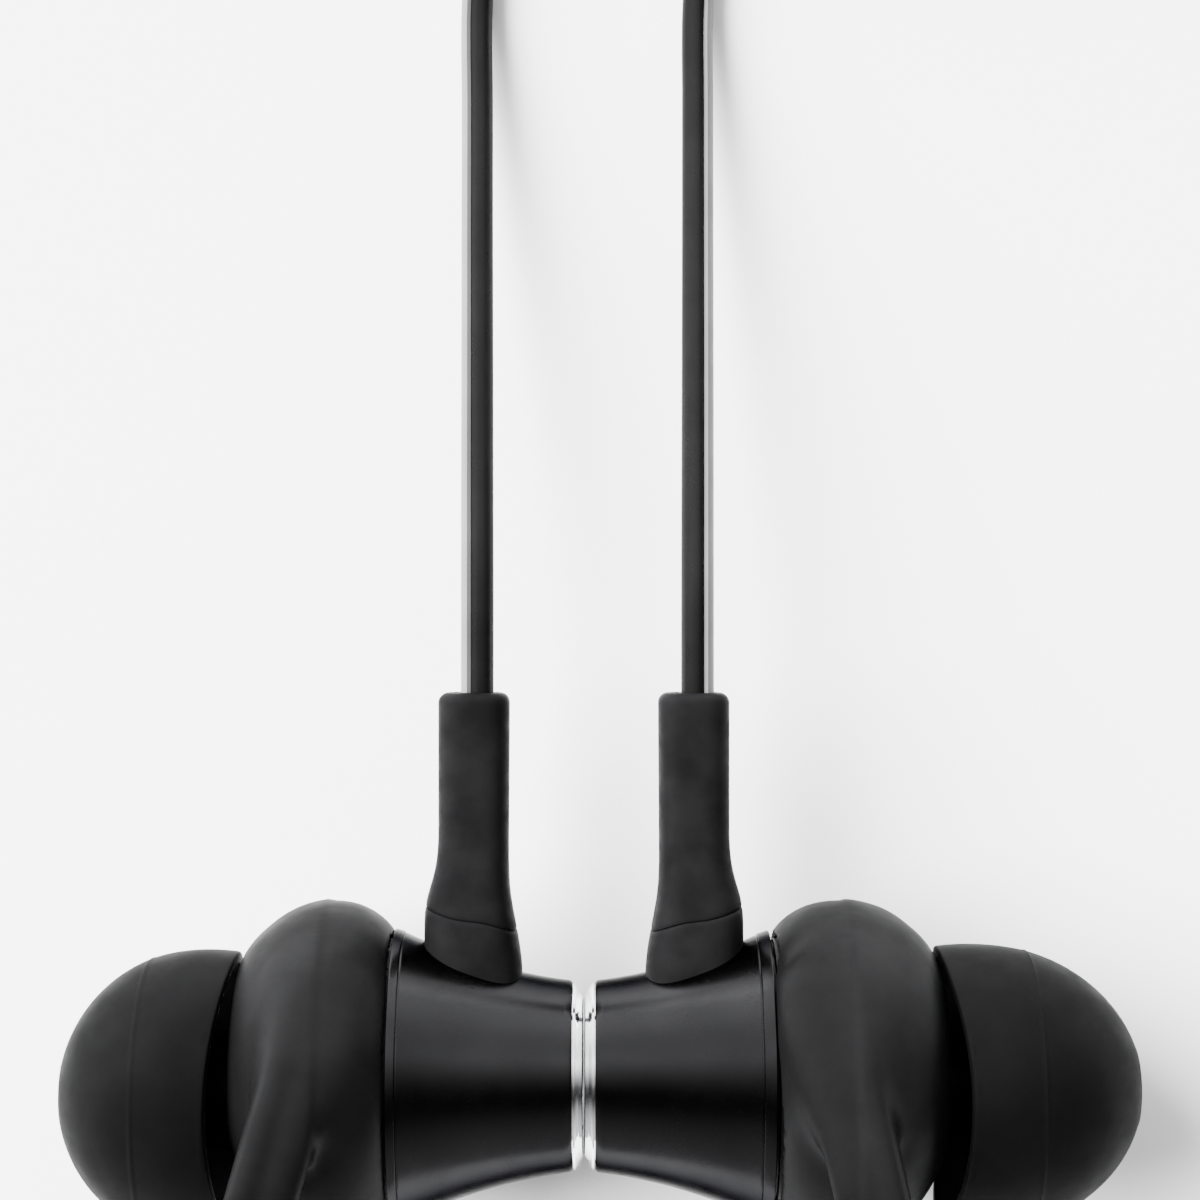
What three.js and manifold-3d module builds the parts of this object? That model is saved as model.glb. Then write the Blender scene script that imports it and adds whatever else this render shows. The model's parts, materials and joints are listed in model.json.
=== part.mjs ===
// A pair of wired in-ear earphones, held back to back by the magnets in their backs, with ear
// wings, ear tips, two branch cords, a splitter, a main cord and a 3.5 mm stereo plug.
// Millimetres. +Z is up, the set lies on z = 0, the buds lie along X and the cords leave towards +Y.
import * as THREE from 'three';
import { mergeVertices } from 'three/addons/utils/BufferGeometryUtils.js';
import Module from 'manifold-3d';

const wasm = await Module();
wasm.setup();

// ---- Driving dimensions -------------------------------------------------------------------
const CONTACT_X = -0.73; // plane where the two backs meet
const AXIS_Y = -1.05; // bud axis, seen from above
const AXIS_Z = 8.0; // bud axis height: the ear wings' sleeves rest on z = 0
const GAP = 0.15; // between nested pieces
const CUT_GAP = 0.3; // between pieces that are cut to each other's shape

const HORN_SMALL_U = 0.72; // the horn-shaped body shell, measured from the contact plane
const HORN_GROOVE_U = 7.95;
const HORN_END_U = 8.45;
const HORN_WALL = 0.6;
const RING_R = 4.25; // bright ring on the back
const SLEEVE_R = 7.97; // ear wing's sleeve, widest
const NOZZLE_R = 2.5;
const NOZZLE_END_U = 21.3;
const STEM_BORE_R = NOZZLE_R + GAP; // hole in the ear tip
const BOOT_U = 4.98; // cord's place along the bud
const BOOT_TOP = 17.4; // above the bud axis, towards +Y
const BOOT_SEAM = 7.3;
const BOOT_R = 1.63;
const BOOT_BORE_R = 0.97;
const BRANCH_W = 1.5; // branch cord's width
const MAIN_W = 2.0; // main cord's diameter
const CORD_X = { left: CONTACT_X - BOOT_U + 0.14, right: CONTACT_X + BOOT_U + 0.18 };
const CORD_START_Y = AXIS_Y + BOOT_TOP + CUT_GAP;

// What differs between the two buds: how far down the nozzle sits, how deep the ear tip is
// pushed on, and where the ear wing's fin starts and how much it leans outwards.
const BUDS = {
  left: {
    sign: -1, drop: 0.8, rimU: 16.2, tipLength: 7.6, tipR: 6.5, finU: 12.5, finLean: 0.28, ventTilt: -12,
  },
  right: {
    sign: 1, drop: 0.5, rimU: 16.7, tipLength: 8.6, tipR: 6.35, finU: 11.3, finLean: 0.22, ventTilt: 12,
  },
};

// The stored cord: three rings about one centre, held by a flat tie that passes under them.
const COIL = { x: 0, y: 77, lift: 0.8 };
const MAIN_COIL = { inner: 8, outer: 16, high: 6 };
const LEFT_COIL = { middle: 17.2, high: 5 };
const RIGHT_COIL = { middle: 19, high: 4.8 };
const TIE = { wide: 5, from: 7.3, to: 20.05, thick: 0.5, roof: 7.1 };
const SPLITTER = { from: 2, to: -12, y: 101, wide: 6, high: 4.4, relief: 4 };
const SPLITTER_CORD_Z = 2.2;
const PLUG = { y: 111.5, z: 2.8, relief: 14, body: 6, jack: -9 };

const SEG = { outer: 24, nozzle: 16, inner: 12 };

// ---- Materials ----------------------------------------------------------------------------
function material(color, roughness, metalness) {
  return new THREE.MeshStandardMaterial({ color, roughness, metalness });
}
const MATERIALS = {
  blackMetal: material(0x17181a, 0.25, 0.9),
  chrome: material(0xd9dbde, 0.08, 1.0),
  wingSilicone: material(0x2c2d2f, 0.55, 0.0),
  tipSilicone: material(0x222325, 0.6, 0.0),
  bootRubber: material(0x2b2c2e, 0.65, 0.0),
  cordRubber: material(0x1a1b1c, 0.5, 0.0),
  blackPlastic: material(0x1b1c1e, 0.45, 0.0),
  steel: material(0xa9abad, 0.3, 1.0),
  nickel: material(0xb9bbbd, 0.25, 1.0),
  copper: material(0xb5713c, 0.35, 1.0),
  film: material(0xc9c4b8, 0.4, 0.0),
  board: material(0x1d5a35, 0.5, 0.0),
  gold: material(0xd3a94a, 0.2, 1.0),
};

// ---- Geometry helpers ---------------------------------------------------------------------
// A closed solid of revolution about +X from [along, radius] points that start and end on the
// axis or close on themselves. With sign -1 it points to -X.
function turned(points, segments, sign = 1) {
  const outline = points.map(([along, radius]) => new THREE.Vector2(radius, along));
  const geometry = new THREE.LatheGeometry(outline, segments);
  const inward = THREE.ShapeUtils.area(outline) < 0;
  if (inward) {
    flip(geometry);
  }
  geometry.rotateZ((-sign * Math.PI) / 2);
  return geometry;
}

// Turns every face of a geometry to its other side.
function flip(geometry) {
  const index = geometry.index.array;
  for (let i = 0; i < index.length; i += 3) {
    [index[i], index[i + 2]] = [index[i + 2], index[i]];
  }
}

// A closed ring outline goes back to its first point.
function closed(points) {
  return [...points, points[0]];
}

function solid(geometry) {
  const bare = geometry.clone();
  for (const name of Object.keys(bare.attributes)) {
    if (name !== 'position') {
      bare.deleteAttribute(name);
    }
  }
  const merged = mergeVertices(bare, 1e-4);
  const index = Array.from(merged.index.array);
  const triangles = [];
  for (let i = 0; i < index.length; i += 3) {
    const [a, b, c] = index.slice(i, i + 3);
    if (a !== b && b !== c && c !== a) {
      triangles.push(a, b, c);
    }
  }
  return new wasm.Manifold(new wasm.Mesh({
    numProp: 3,
    vertProperties: new Float32Array(merged.attributes.position.array),
    triVerts: new Uint32Array(triangles),
  }));
}

function geometryOf(manifold) {
  const mesh = manifold.getMesh();
  const geometry = new THREE.BufferGeometry();
  geometry.setAttribute('position', new THREE.BufferAttribute(new Float32Array(mesh.vertProperties), 3));
  geometry.setIndex(Array.from(mesh.triVerts));
  return geometry;
}

// A rod along +Y from y0 to y1 at (x, z).
function rodY(radius, x, y0, y1, z, segments) {
  const geometry = new THREE.CylinderGeometry(radius, radius, y1 - y0, segments);
  geometry.translate(x, (y0 + y1) / 2, z);
  return geometry;
}

// A round section with the given number of sides.
function roundSection(diameter, sides) {
  const shape = new THREE.Shape();
  for (let i = 0; i < sides; i += 1) {
    const angle = (2 * Math.PI * (i + 0.5)) / sides;
    const x = (diameter / 2) * Math.cos(angle);
    const y = (diameter / 2) * Math.sin(angle);
    if (i === 0) {
      shape.moveTo(x, y);
    } else {
      shape.lineTo(x, y);
    }
  }
  shape.closePath();
  return shape;
}

// A plain tube for a stretch of cord that isn't coiled.
function cordTube(route, diameter, steps) {
  const curve = new THREE.CatmullRomCurve3(route.map((p) => new THREE.Vector3(...p)), false, 'centripetal');
  return new THREE.ExtrudeGeometry(roundSection(diameter, 8), {
    steps,
    extrudePath: curve,
    bevelEnabled: false,
  });
}

const earphones = new THREE.Group();

function add(parent, name, geometry, look) {
  const mesh = new THREE.Mesh(geometry, look);
  mesh.name = name;
  parent.add(mesh);
  return mesh;
}

// ---- The bud's housing --------------------------------------------------------------------
// The body shell flares like a horn from its back to its front.
function hornRadius(u) {
  return 4.24 + 0.09 * u + 0.0228 * u * u;
}

function hornOutline(offset, from, to, steps) {
  return Array.from({ length: steps + 1 }, (_, i) => {
    const u = from + ((to - from) * i) / steps;
    return [u, hornRadius(u) + offset];
  });
}

function bodyShell(bud) {
  const outline = closed([
    [HORN_SMALL_U, RING_R - 0.05],
    ...hornOutline(0, HORN_SMALL_U + 0.1, HORN_GROOVE_U, 6),
    [HORN_GROOVE_U + 0.02, hornRadius(HORN_GROOVE_U) - 0.2],
    [HORN_GROOVE_U + 0.17, hornRadius(HORN_GROOVE_U) - 0.2],
    [HORN_GROOVE_U + 0.2, hornRadius(HORN_GROOVE_U) + 0.12],
    [HORN_END_U, hornRadius(HORN_END_U)],
    ...hornOutline(-HORN_WALL, 2.4, HORN_END_U, 4).reverse(),
    [2.2, 3.87],
    [HORN_SMALL_U, 3.87],
  ]);
  const cordHole = rodY(BOOT_BORE_R, bud.sign * BOOT_U, 2, 8, 0, 12);
  const vent = rodY(0.3, bud.sign * 5.3, -8, -3, 0, 8);
  vent.rotateX(THREE.MathUtils.degToRad(bud.ventTilt));
  const shell = solid(turned(outline, SEG.outer, bud.sign)).subtract(solid(cordHole));
  return geometryOf(shell.subtract(solid(vent)));
}

function backRing(sign) {
  return turned(closed([
    [0.06, 3.5], [0.06, 3.95], [0.34, RING_R], [0.62, RING_R], [0.62, 3.75], [1.4, 3.75], [1.4, 3.5],
  ]), SEG.outer, sign);
}

function disc(from, to, radius, segments, sign) {
  return turned([[from, 0], [from, radius], [to, radius], [to, 0]], segments, sign);
}

// The nose closes the shell's wide end and carries the nozzle, which sits below the bud axis.
function noseCone(bud) {
  const outline = [
    [14.9, 0], [14.9, 3.7], [13.6, 5.2], [9.4, 6.2], [8.58, 6.2], [8.58, 5.45],
    [7.6, 5.45], [7.6, 5.05], [9.2, 5.15], [13.0, 4.6], [13.8, 4.4], [13.8, 0],
  ];
  const hole = disc(13, 16, NOZZLE_R + GAP, SEG.nozzle, bud.sign);
  hole.translate(0, -bud.drop, 0);
  return geometryOf(solid(turned(outline, SEG.outer, bud.sign)).subtract(solid(hole)));
}

function nozzle(sign) {
  return turned(closed([
    [12.9, 1.7], [12.9, 3.4], [13.5, 3.4], [13.5, NOZZLE_R], [NOZZLE_END_U, NOZZLE_R],
    [NOZZLE_END_U, 2.15], [NOZZLE_END_U - 0.5, 2.15], [NOZZLE_END_U - 0.5, 1.7],
  ]), SEG.nozzle, sign);
}

// ---- The driver ---------------------------------------------------------------------------
function driverFrame(sign) {
  return turned(closed([
    [6.8, 3.55], [6.8, 4.85], [8.85, 4.85], [8.85, 4.45], [7.3, 4.45], [7.3, 3.55],
  ]), SEG.inner, sign);
}

function driverYoke(sign) {
  return turned([
    [5.4, 0], [5.4, 3.4], [7.9, 3.4], [7.9, 3.0], [6.0, 3.0], [6.0, 0],
  ], SEG.inner, sign);
}

function voiceCoil(sign) {
  return turned(closed([[7.0, 2.55], [7.0, 2.8], [8.75, 2.8], [8.75, 2.55]]), SEG.inner, sign);
}

// A thin film with a domed middle and a rolled edge.
function diaphragm(sign) {
  return turned([
    [9.7, 0], [9.5, 1.6], [9.0, 2.7], [9.3, 3.5], [9.0, 4.6],
    [8.88, 4.6], [9.15, 3.5], [8.85, 2.75], [9.35, 1.55], [9.55, 0],
  ], SEG.inner, sign);
}

// ---- The soft pieces ----------------------------------------------------------------------
// The ear tip is a near half ball with an open back, on a stem that grips the nozzle.
function earTip(bud) {
  const { tipR, tipLength } = bud;
  const skirt = 1.4;
  const reach = tipLength - skirt;
  const dome = Array.from({ length: 7 }, (_, i) => {
    const angle = THREE.MathUtils.degToRad(i * 12.2);
    return [skirt + reach * Math.sin(angle), tipR * Math.cos(angle)];
  });
  const hollow = Array.from({ length: 4 }, (_, i) => {
    const angle = THREE.MathUtils.degToRad(i * 14);
    return [skirt + (reach - 1.6) * Math.sin(angle), (tipR - 0.9) * Math.cos(angle)];
  }).reverse();
  const outline = closed([
    [0, tipR - 0.25],
    ...dome,
    [tipLength - 0.6, 1.75],
    [tipLength - 2.1, 1.75],
    [tipLength - 2.1, STEM_BORE_R],
    [0.7, STEM_BORE_R],
    [0.7, 3.5],
    [tipLength - 3.4, 3.6],
    ...hollow,
    [0, tipR - 0.8],
  ]);
  const geometry = turned(outline, SEG.outer, bud.sign);
  geometry.translate(bud.sign * bud.rimU, -bud.drop, 0);
  return geometry;
}

// The wing's fin rises off the top of the sleeve, reaches over its front and bends down to a blunt
// end. These are its middle's [y, z] about the bud axis; it leans outwards on the way.
const FIN_MIDDLE = [
  [4.5, 5.4], [2.7, 6.55], [0.3, 7.7], [-2.5, 8.65], [-5.5, 9.2], [-8.5, 9.1], [-11.3, 8.0],
  [-13.5, 6.0], [-14.7, 3.6],
];

function finPath({ sign, finU, finLean }) {
  return FIN_MIDDLE.map(([y, z]) => new THREE.Vector3(sign * (finU - finLean * y), y, z));
}

// Half the fin's width along its path: broad at its root, narrower and rounded at its end.
function finWidth(t) {
  const taper = 1.45 - 0.4 * t;
  const end = Math.sqrt(Math.max(0, 1 - Math.max(0, (t - 0.88) / 0.12) ** 2));
  return Math.max(0.5, taper * end);
}

function fin(bud) {
  const curve = new THREE.CatmullRomCurve3(finPath(bud));
  const steps = 11;
  const geometry = new THREE.ExtrudeGeometry(roundSection(2, 8), {
    steps,
    extrudePath: curve,
    bevelEnabled: false,
  });
  const centres = curve.getSpacedPoints(steps);
  const position = geometry.attributes.position;
  const point = new THREE.Vector3();
  for (let i = 0; i < position.count; i += 1) {
    point.fromBufferAttribute(position, i);
    const distances = centres.map((centre) => centre.distanceTo(point));
    const nearest = distances.indexOf(Math.min(...distances));
    const width = finWidth(nearest / steps);
    point.sub(centres[nearest]).multiplyScalar(width);
    point.y *= 0.82;
    point.z *= 0.82;
    point.add(centres[nearest]);
    position.setXYZ(i, point.x, point.y, point.z);
  }
  return geometry;
}

function earWing(bud) {
  const sleeve = turned(closed([
    [8.58, 6.75], [8.9, 7.1], [9.45, 7.45], [10.2, 7.82], [11.3, SLEEVE_R], [12.3, 7.9], [13.1, 7.66],
    [13.8, 7.28], [14.6, 6.68], [15.35, 6.0], [15.9, 5.2], [15.8, 4.3], [15.3, 3.6], [15.06, 3.65],
    [13.72, 5.36], [9.46, 6.36], [8.58, 6.36],
  ]), SEG.outer, bud.sign);
  const bore = turned([
    [8, 0], [8, 6.36], [9.46, 6.36], [13.72, 5.36], [15.06, 3.65], [15.06, 0],
  ], SEG.outer, bud.sign);
  return geometryOf(solid(sleeve).add(solid(fin(bud)).subtract(solid(bore))));
}

// ---- Where the cord leaves the bud ----------------------------------------------------------
// A tapered sleeve about +Y from [along, radius] points.
function reliefSleeve(points, x) {
  const outline = points.map(([along, radius]) => new THREE.Vector2(radius, along));
  const geometry = new THREE.LatheGeometry(outline, SEG.inner);
  if (THREE.ShapeUtils.area(outline) < 0) {
    flip(geometry);
  }
  geometry.translate(x, 0, 0);
  return geometry;
}

function cordBoot(sign) {
  return reliefSleeve(closed([
    [BOOT_SEAM + 0.1, BOOT_BORE_R], [BOOT_SEAM + 0.1, 2.1], [8.4, 1.85], [10.2, BOOT_R],
    [BOOT_TOP - 0.3, BOOT_R], [BOOT_TOP, BOOT_R - 0.3], [BOOT_TOP, BOOT_BORE_R],
  ]), sign * BOOT_U);
}

function cordCollar(bud) {
  const collar = reliefSleeve(closed([
    [3.6, BOOT_BORE_R], [3.6, 2.5], [5.9, 2.4], [6.9, 2.2], [BOOT_SEAM, 2.1], [BOOT_SEAM, BOOT_BORE_R],
  ]), bud.sign * BOOT_U);
  const horn = turned([
    [0, 0],
    ...hornOutline(CUT_GAP, 0, HORN_END_U, 6),
    [HORN_END_U, 0],
  ], SEG.outer, bud.sign);
  return geometryOf(solid(collar).subtract(solid(horn)));
}

function innerCord(sign) {
  return rodY(BRANCH_W / 2, sign * BOOT_U, 3.9, BOOT_TOP, 0, 8);
}

// ---- One bud --------------------------------------------------------------------------------
function addBud(side) {
  const bud = BUDS[side];
  const { sign } = bud;
  const group = new THREE.Group();
  group.position.set(CONTACT_X, AXIS_Y, AXIS_Z);
  const nozzleGroup = new THREE.Group();
  nozzleGroup.position.y = -bud.drop;
  group.add(nozzleGroup);
  const piece = (name, geometry, look, parent = group) => add(parent, `${side}_${name}`, geometry, look);

  piece('back_ring', backRing(sign), MATERIALS.chrome);
  piece('back_cap', disc(0.18, 0.62, 3.35, SEG.inner, sign), MATERIALS.blackPlastic);
  piece('dock_magnet', disc(0.8, 2.4, 3.3, SEG.inner, sign), MATERIALS.nickel);
  piece('body_shell', bodyShell(bud), MATERIALS.blackMetal);
  piece('terminal_board', disc(4.2, 4.8, 3.2, SEG.inner, sign), MATERIALS.board);
  piece('driver_yoke', driverYoke(sign), MATERIALS.steel);
  piece('driver_magnet', disc(6.1, 7.3, 2.3, SEG.inner, sign), MATERIALS.nickel);
  piece('driver_pole', disc(7.4, 7.9, 2.35, SEG.inner, sign), MATERIALS.steel);
  piece('driver_frame', driverFrame(sign), MATERIALS.steel);
  piece('voice_coil', voiceCoil(sign), MATERIALS.copper);
  piece('diaphragm', diaphragm(sign), MATERIALS.film);
  piece('nose_cone', noseCone(bud), MATERIALS.blackPlastic);
  piece('nozzle', nozzle(sign), MATERIALS.blackMetal, nozzleGroup);
  const meshU = NOZZLE_END_U - 0.4;
  piece('nozzle_mesh', disc(meshU, meshU + 0.3, 2.0, SEG.nozzle, sign), MATERIALS.steel, nozzleGroup);
  piece('ear_wing', earWing(bud), MATERIALS.wingSilicone);
  piece('ear_tip', earTip(bud), MATERIALS.tipSilicone);
  piece('cord_collar', cordCollar(bud), MATERIALS.blackPlastic);
  piece('cord_boot', cordBoot(sign), MATERIALS.bootRubber);
  piece('cord_inner', innerCord(sign), MATERIALS.cordRubber);
  earphones.add(group);
}

addBud('left');
addBud('right');

// ---- The cords where they aren't coiled -------------------------------------------------------
// Each branch leaves its boot straight, sags to the floor and runs to the stored coil.
const LEFT_LEAD = [
  [CORD_X.left, CORD_START_Y, AXIS_Z], [CORD_X.left - 0.01, 21, 7.7], [CORD_X.left - 0.06, 26, 6.6],
  [CORD_X.left - 0.13, 32, 4.9], [CORD_X.left - 0.21, 38, 3.1], [CORD_X.left - 0.27, 44, 1.6],
  [CORD_X.left - 0.31, 49, 0.85], [-5.5, 52.8, 0.76], [-4.1, 55.0, 0.76], [-2.2, 56.15, 0.76],
];
const RIGHT_LEAD = [
  [CORD_X.right, CORD_START_Y, AXIS_Z], [CORD_X.right + 0.01, 21, 7.7], [CORD_X.right + 0.05, 26, 6.6],
  [CORD_X.right + 0.11, 32, 4.9], [CORD_X.right + 0.17, 38, 3.1], [CORD_X.right + 0.22, 44, 1.6],
  [CORD_X.right + 0.26, 49, 0.85], [5.1, 52.2, 0.76], [7.2, 55.4, 0.8], [10.4, 58.4, 0.9],
  [14.0, 61.6, 1.2],
];
// From the coil the branches run down into the splitter.
const LEFT_EXIT = [[10.6, 95.2, 4.9], [8.4, 98.0, 3.9], [5.6, 99.7, 2.7], [2.3, 100.15, SPLITTER_CORD_Z]];
const RIGHT_EXIT = [
  [18.9, 86.3, 4.2], [17.6, 91.0, 3.6], [14.4, 96.2, 2.9], [9.8, 100.0, 2.4], [5.6, 101.6, 2.2],
  [2.3, 101.85, SPLITTER_CORD_Z],
];
// The main cord turns back from the splitter and climbs onto the coil over the branches' turns.
const MAIN_LEAD = [
  [-16.3, 101, SPLITTER_CORD_Z], [-20.2, 100.1, 1.7], [-23.3, 97.2, 1.3], [-24.5, 93.0, 1.3],
  [-24.2, 88.0, 2.4], [-22.9, 83.6, 4.6], [-21.2, 80.4, 6.6], [-19.3, 77.6, 7.1],
];
// Its other end comes over the coil from the middle and runs down to the plug.
const MAIN_EXIT = [
  [10.6, 77.4, 8.15], [13.0, 81.6, 8.2], [15.4, 85.6, 7.7], [17.5, 89.4, 6.9], [19.8, 94.0, 5.0],
  [21.3, 99.0, 2.7], [21.3, 104.2, 1.4], [19.6, 108.6, 1.6], [17.0, 110.9, 2.4], [14.3, 111.5, PLUG.z],
];

function addCords() {
  add(earphones, 'left_cord_lead', cordTube(LEFT_LEAD, BRANCH_W, 14), MATERIALS.cordRubber);
  add(earphones, 'right_cord_lead', cordTube(RIGHT_LEAD, BRANCH_W, 15), MATERIALS.cordRubber);
  add(earphones, 'left_cord_exit', cordTube(LEFT_EXIT, BRANCH_W, 4), MATERIALS.cordRubber);
  add(earphones, 'right_cord_exit', cordTube(RIGHT_EXIT, BRANCH_W, 8), MATERIALS.cordRubber);
  add(earphones, 'main_cord_lead', cordTube(MAIN_LEAD, MAIN_W, 10), MATERIALS.cordRubber);
  add(earphones, 'main_cord_exit', cordTube(MAIN_EXIT, MAIN_W, 12), MATERIALS.cordRubber);
}

// ---- The stored coil --------------------------------------------------------------------------
// The outer shape of one cord's turns: a ring lying on the tie.
function coilRing(inner, outer, high) {
  const edge = 0.4;
  const outline = closed([
    [inner, edge], [inner + edge, 0], [outer - edge, 0], [outer, edge],
    [outer, high - edge], [outer - edge, high], [inner + edge, high], [inner, high - edge],
  ]).map(([radius, along]) => new THREE.Vector2(radius, along));
  const geometry = new THREE.LatheGeometry(outline, SEG.outer);
  if (THREE.ShapeUtils.area(outline) < 0) {
    flip(geometry);
  }
  geometry.rotateX(Math.PI / 2);
  geometry.translate(COIL.x, COIL.y, COIL.lift);
  return geometry;
}

function branchCoil({ middle, high }) {
  return coilRing(middle - BRANCH_W / 2, middle + BRANCH_W / 2, high);
}

// A flat strap that closes round the turns on the coil's far side.
function cordTie() {
  const { wide, from, to, thick, roof } = TIE;
  const outside = new THREE.Shape();
  outside.moveTo(from - thick, 0).lineTo(to + thick, 0);
  outside.lineTo(to + thick, roof + thick).lineTo(from - thick, roof + thick).closePath();
  const inside = new THREE.Path();
  inside.moveTo(from, thick).lineTo(from, roof).lineTo(to, roof).lineTo(to, thick).closePath();
  outside.holes.push(inside);
  const geometry = new THREE.ExtrudeGeometry(outside, { depth: wide, bevelEnabled: false });
  geometry.rotateX(Math.PI / 2);
  geometry.rotateZ(Math.PI / 2);
  geometry.translate(COIL.x - wide / 2, COIL.y, 0);
  return geometry;
}

function addCoil() {
  const { inner, outer, high } = MAIN_COIL;
  add(earphones, 'main_coil', coilRing(inner, outer, high), MATERIALS.cordRubber);
  add(earphones, 'left_coil', branchCoil(LEFT_COIL), MATERIALS.cordRubber);
  add(earphones, 'right_coil', branchCoil(RIGHT_COIL), MATERIALS.cordRubber);
  add(earphones, 'cord_tie', cordTie(), MATERIALS.bootRubber);
}

// ---- The splitter -----------------------------------------------------------------------------
function roundedSlab(long, wide, high, corner) {
  const shape = new THREE.Shape();
  const [x, y] = [long / 2, wide / 2];
  shape.moveTo(corner - x, -y).lineTo(x - corner, -y);
  shape.absarc(x - corner, corner - y, corner, -Math.PI / 2, 0);
  shape.absarc(x - corner, y - corner, corner, 0, Math.PI / 2);
  shape.absarc(corner - x, y - corner, corner, Math.PI / 2, Math.PI);
  shape.absarc(corner - x, corner - y, corner, Math.PI, 1.5 * Math.PI);
  return new THREE.ExtrudeGeometry(shape, { depth: high, bevelEnabled: false, curveSegments: 4 });
}

// Two plastic half shells close round a small board where the branches join the main cord.
function splitterShell(z0, z1) {
  const { from, to, y, wide, high } = SPLITTER;
  const middle = (from + to) / 2;
  const shell = roundedSlab(from - to, wide, z1 - z0, 1.6);
  shell.translate(middle, y, z0);
  const hollow = new THREE.BoxGeometry(from - to - 2, wide - 2, high - 1.8);
  hollow.translate(middle, y, high / 2);
  return geometryOf(solid(shell).subtract(solid(hollow)));
}

// A piece turned about a line along -X that starts at the given place.
function turnedAt(points, start, y, z) {
  const geometry = turned(points, SEG.inner, -1);
  geometry.translate(start, y, z);
  return geometry;
}

function addSplitter() {
  const { from, to, y, high, relief } = SPLITTER;
  add(earphones, 'splitter_base', splitterShell(0, high / 2 - 0.05), MATERIALS.blackPlastic);
  add(earphones, 'splitter_cover', splitterShell(high / 2 + 0.05, high), MATERIALS.blackPlastic);
  const board = new THREE.BoxGeometry(from - to - 3, 3.4, 0.8);
  board.translate((from + to) / 2, y, high / 2);
  add(earphones, 'splitter_board', board, MATERIALS.board);
  const sleeve = turnedAt([[0.1, 0], [0.1, 1.9], [relief, 1.4], [relief, 0]], to, y, SPLITTER_CORD_Z);
  add(earphones, 'splitter_relief', sleeve, MATERIALS.bootRubber);
}

// ---- The 3.5 mm stereo plug, lying on its side and pointing to -X -------------------------------
function addPlug() {
  const { relief, body, jack } = PLUG;
  const parts = {
    plug_relief: [relief, [[0, 0], [0, 1.5], [7.6, 2.2], [7.6, 0]], MATERIALS.bootRubber],
    plug_body: [body, [
      [0, 0], [0, 2.3], [0.6, 2.7], [14.2, 2.7], [14.8, 2.3], [14.8, 0],
    ], MATERIALS.blackPlastic],
    jack_sleeve: [jack, [[0, 0], [0, 2.3], [0.5, 2.3], [0.5, 1.75], [6.2, 1.75], [6.2, 0]], MATERIALS.gold],
    jack_insulator_1: [jack - 6.3, [[0, 0], [0, 1.7], [0.5, 1.7], [0.5, 0]], MATERIALS.blackPlastic],
    jack_ring: [jack - 6.9, [[0, 0], [0, 1.75], [1.8, 1.75], [1.8, 0]], MATERIALS.gold],
    jack_insulator_2: [jack - 8.8, [[0, 0], [0, 1.7], [0.5, 1.7], [0.5, 0]], MATERIALS.blackPlastic],
    jack_tip: [jack - 9.4, [
      [0, 0], [0, 1.75], [1.6, 1.3], [2.4, 1.3], [3.1, 1.75], [4.8, 0.7], [5.0, 0],
    ], MATERIALS.gold],
  };
  for (const [name, [start, outline, look]] of Object.entries(parts)) {
    add(earphones, name, turnedAt(outline, start, PLUG.y, PLUG.z), look);
  }
}

addCords();
addCoil();
addSplitter();
addPlug();

export default earphones;
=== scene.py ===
"""Wired in-ear earphones docked back to back by their magnets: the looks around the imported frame.

Lengths are in millimetres until a mesh is finished, and every finished mesh is in metres. A bud has
its own frame: u runs outwards along its axis from the plane where the two backs meet, y runs
towards the cords and z runs up, both from the axis.
"""
import json
import math

import bpy
import numpy as np
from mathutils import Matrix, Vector


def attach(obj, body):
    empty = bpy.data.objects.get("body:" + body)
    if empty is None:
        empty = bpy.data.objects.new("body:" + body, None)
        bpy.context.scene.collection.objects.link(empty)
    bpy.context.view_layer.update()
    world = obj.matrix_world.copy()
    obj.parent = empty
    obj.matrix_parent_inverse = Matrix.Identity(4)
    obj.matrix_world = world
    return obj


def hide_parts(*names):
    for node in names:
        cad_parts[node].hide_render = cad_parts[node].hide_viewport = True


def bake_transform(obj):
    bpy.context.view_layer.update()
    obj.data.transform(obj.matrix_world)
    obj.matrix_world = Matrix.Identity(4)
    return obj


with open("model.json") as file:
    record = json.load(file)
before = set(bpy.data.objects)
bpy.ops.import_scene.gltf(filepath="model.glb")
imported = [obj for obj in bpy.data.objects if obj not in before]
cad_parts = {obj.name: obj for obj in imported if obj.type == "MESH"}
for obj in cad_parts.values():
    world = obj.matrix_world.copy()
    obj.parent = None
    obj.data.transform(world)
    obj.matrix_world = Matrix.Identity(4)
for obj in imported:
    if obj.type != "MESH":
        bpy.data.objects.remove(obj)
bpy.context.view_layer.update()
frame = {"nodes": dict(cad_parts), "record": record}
MM = 0.001

# ---- Driving dimensions, as in the CAD ----
CONTACT_X = -0.73
AXIS_Y = -1.05
AXIS_Z = 8.0
SHELL_SMALL_U = 0.52
SHELL_WALL = 0.6
RING_R = 4.25
NOZZLE_R = 2.5
NOZZLE_END_U = 21.3
STEM_BORE_R = 2.65
BOOT_U = 4.98
BOOT_TOP = 17.4
BRANCH_W = 1.5
MAIN_W = 2.0
CORD_X = {"left": CONTACT_X - BOOT_U + 0.14, "right": CONTACT_X + BOOT_U + 0.18}
CORD_START_Y = AXIS_Y + BOOT_TOP + 0.3
COIL = (0.0, 77.0)
COIL_LIFT = 0.8
TIE = {"wide": 5, "from": 7.3, "to": 20.05, "thick": 0.5, "roof": 7.1}
SPLITTER = {"from": 2, "to": -12, "y": 101, "wide": 6, "high": 4.4, "relief": 4}
SPLITTER_CORD_Z = 2.2
PLUG = {"y": 111.5, "z": 2.8, "relief": 14, "body": 6, "jack": -9}
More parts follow.
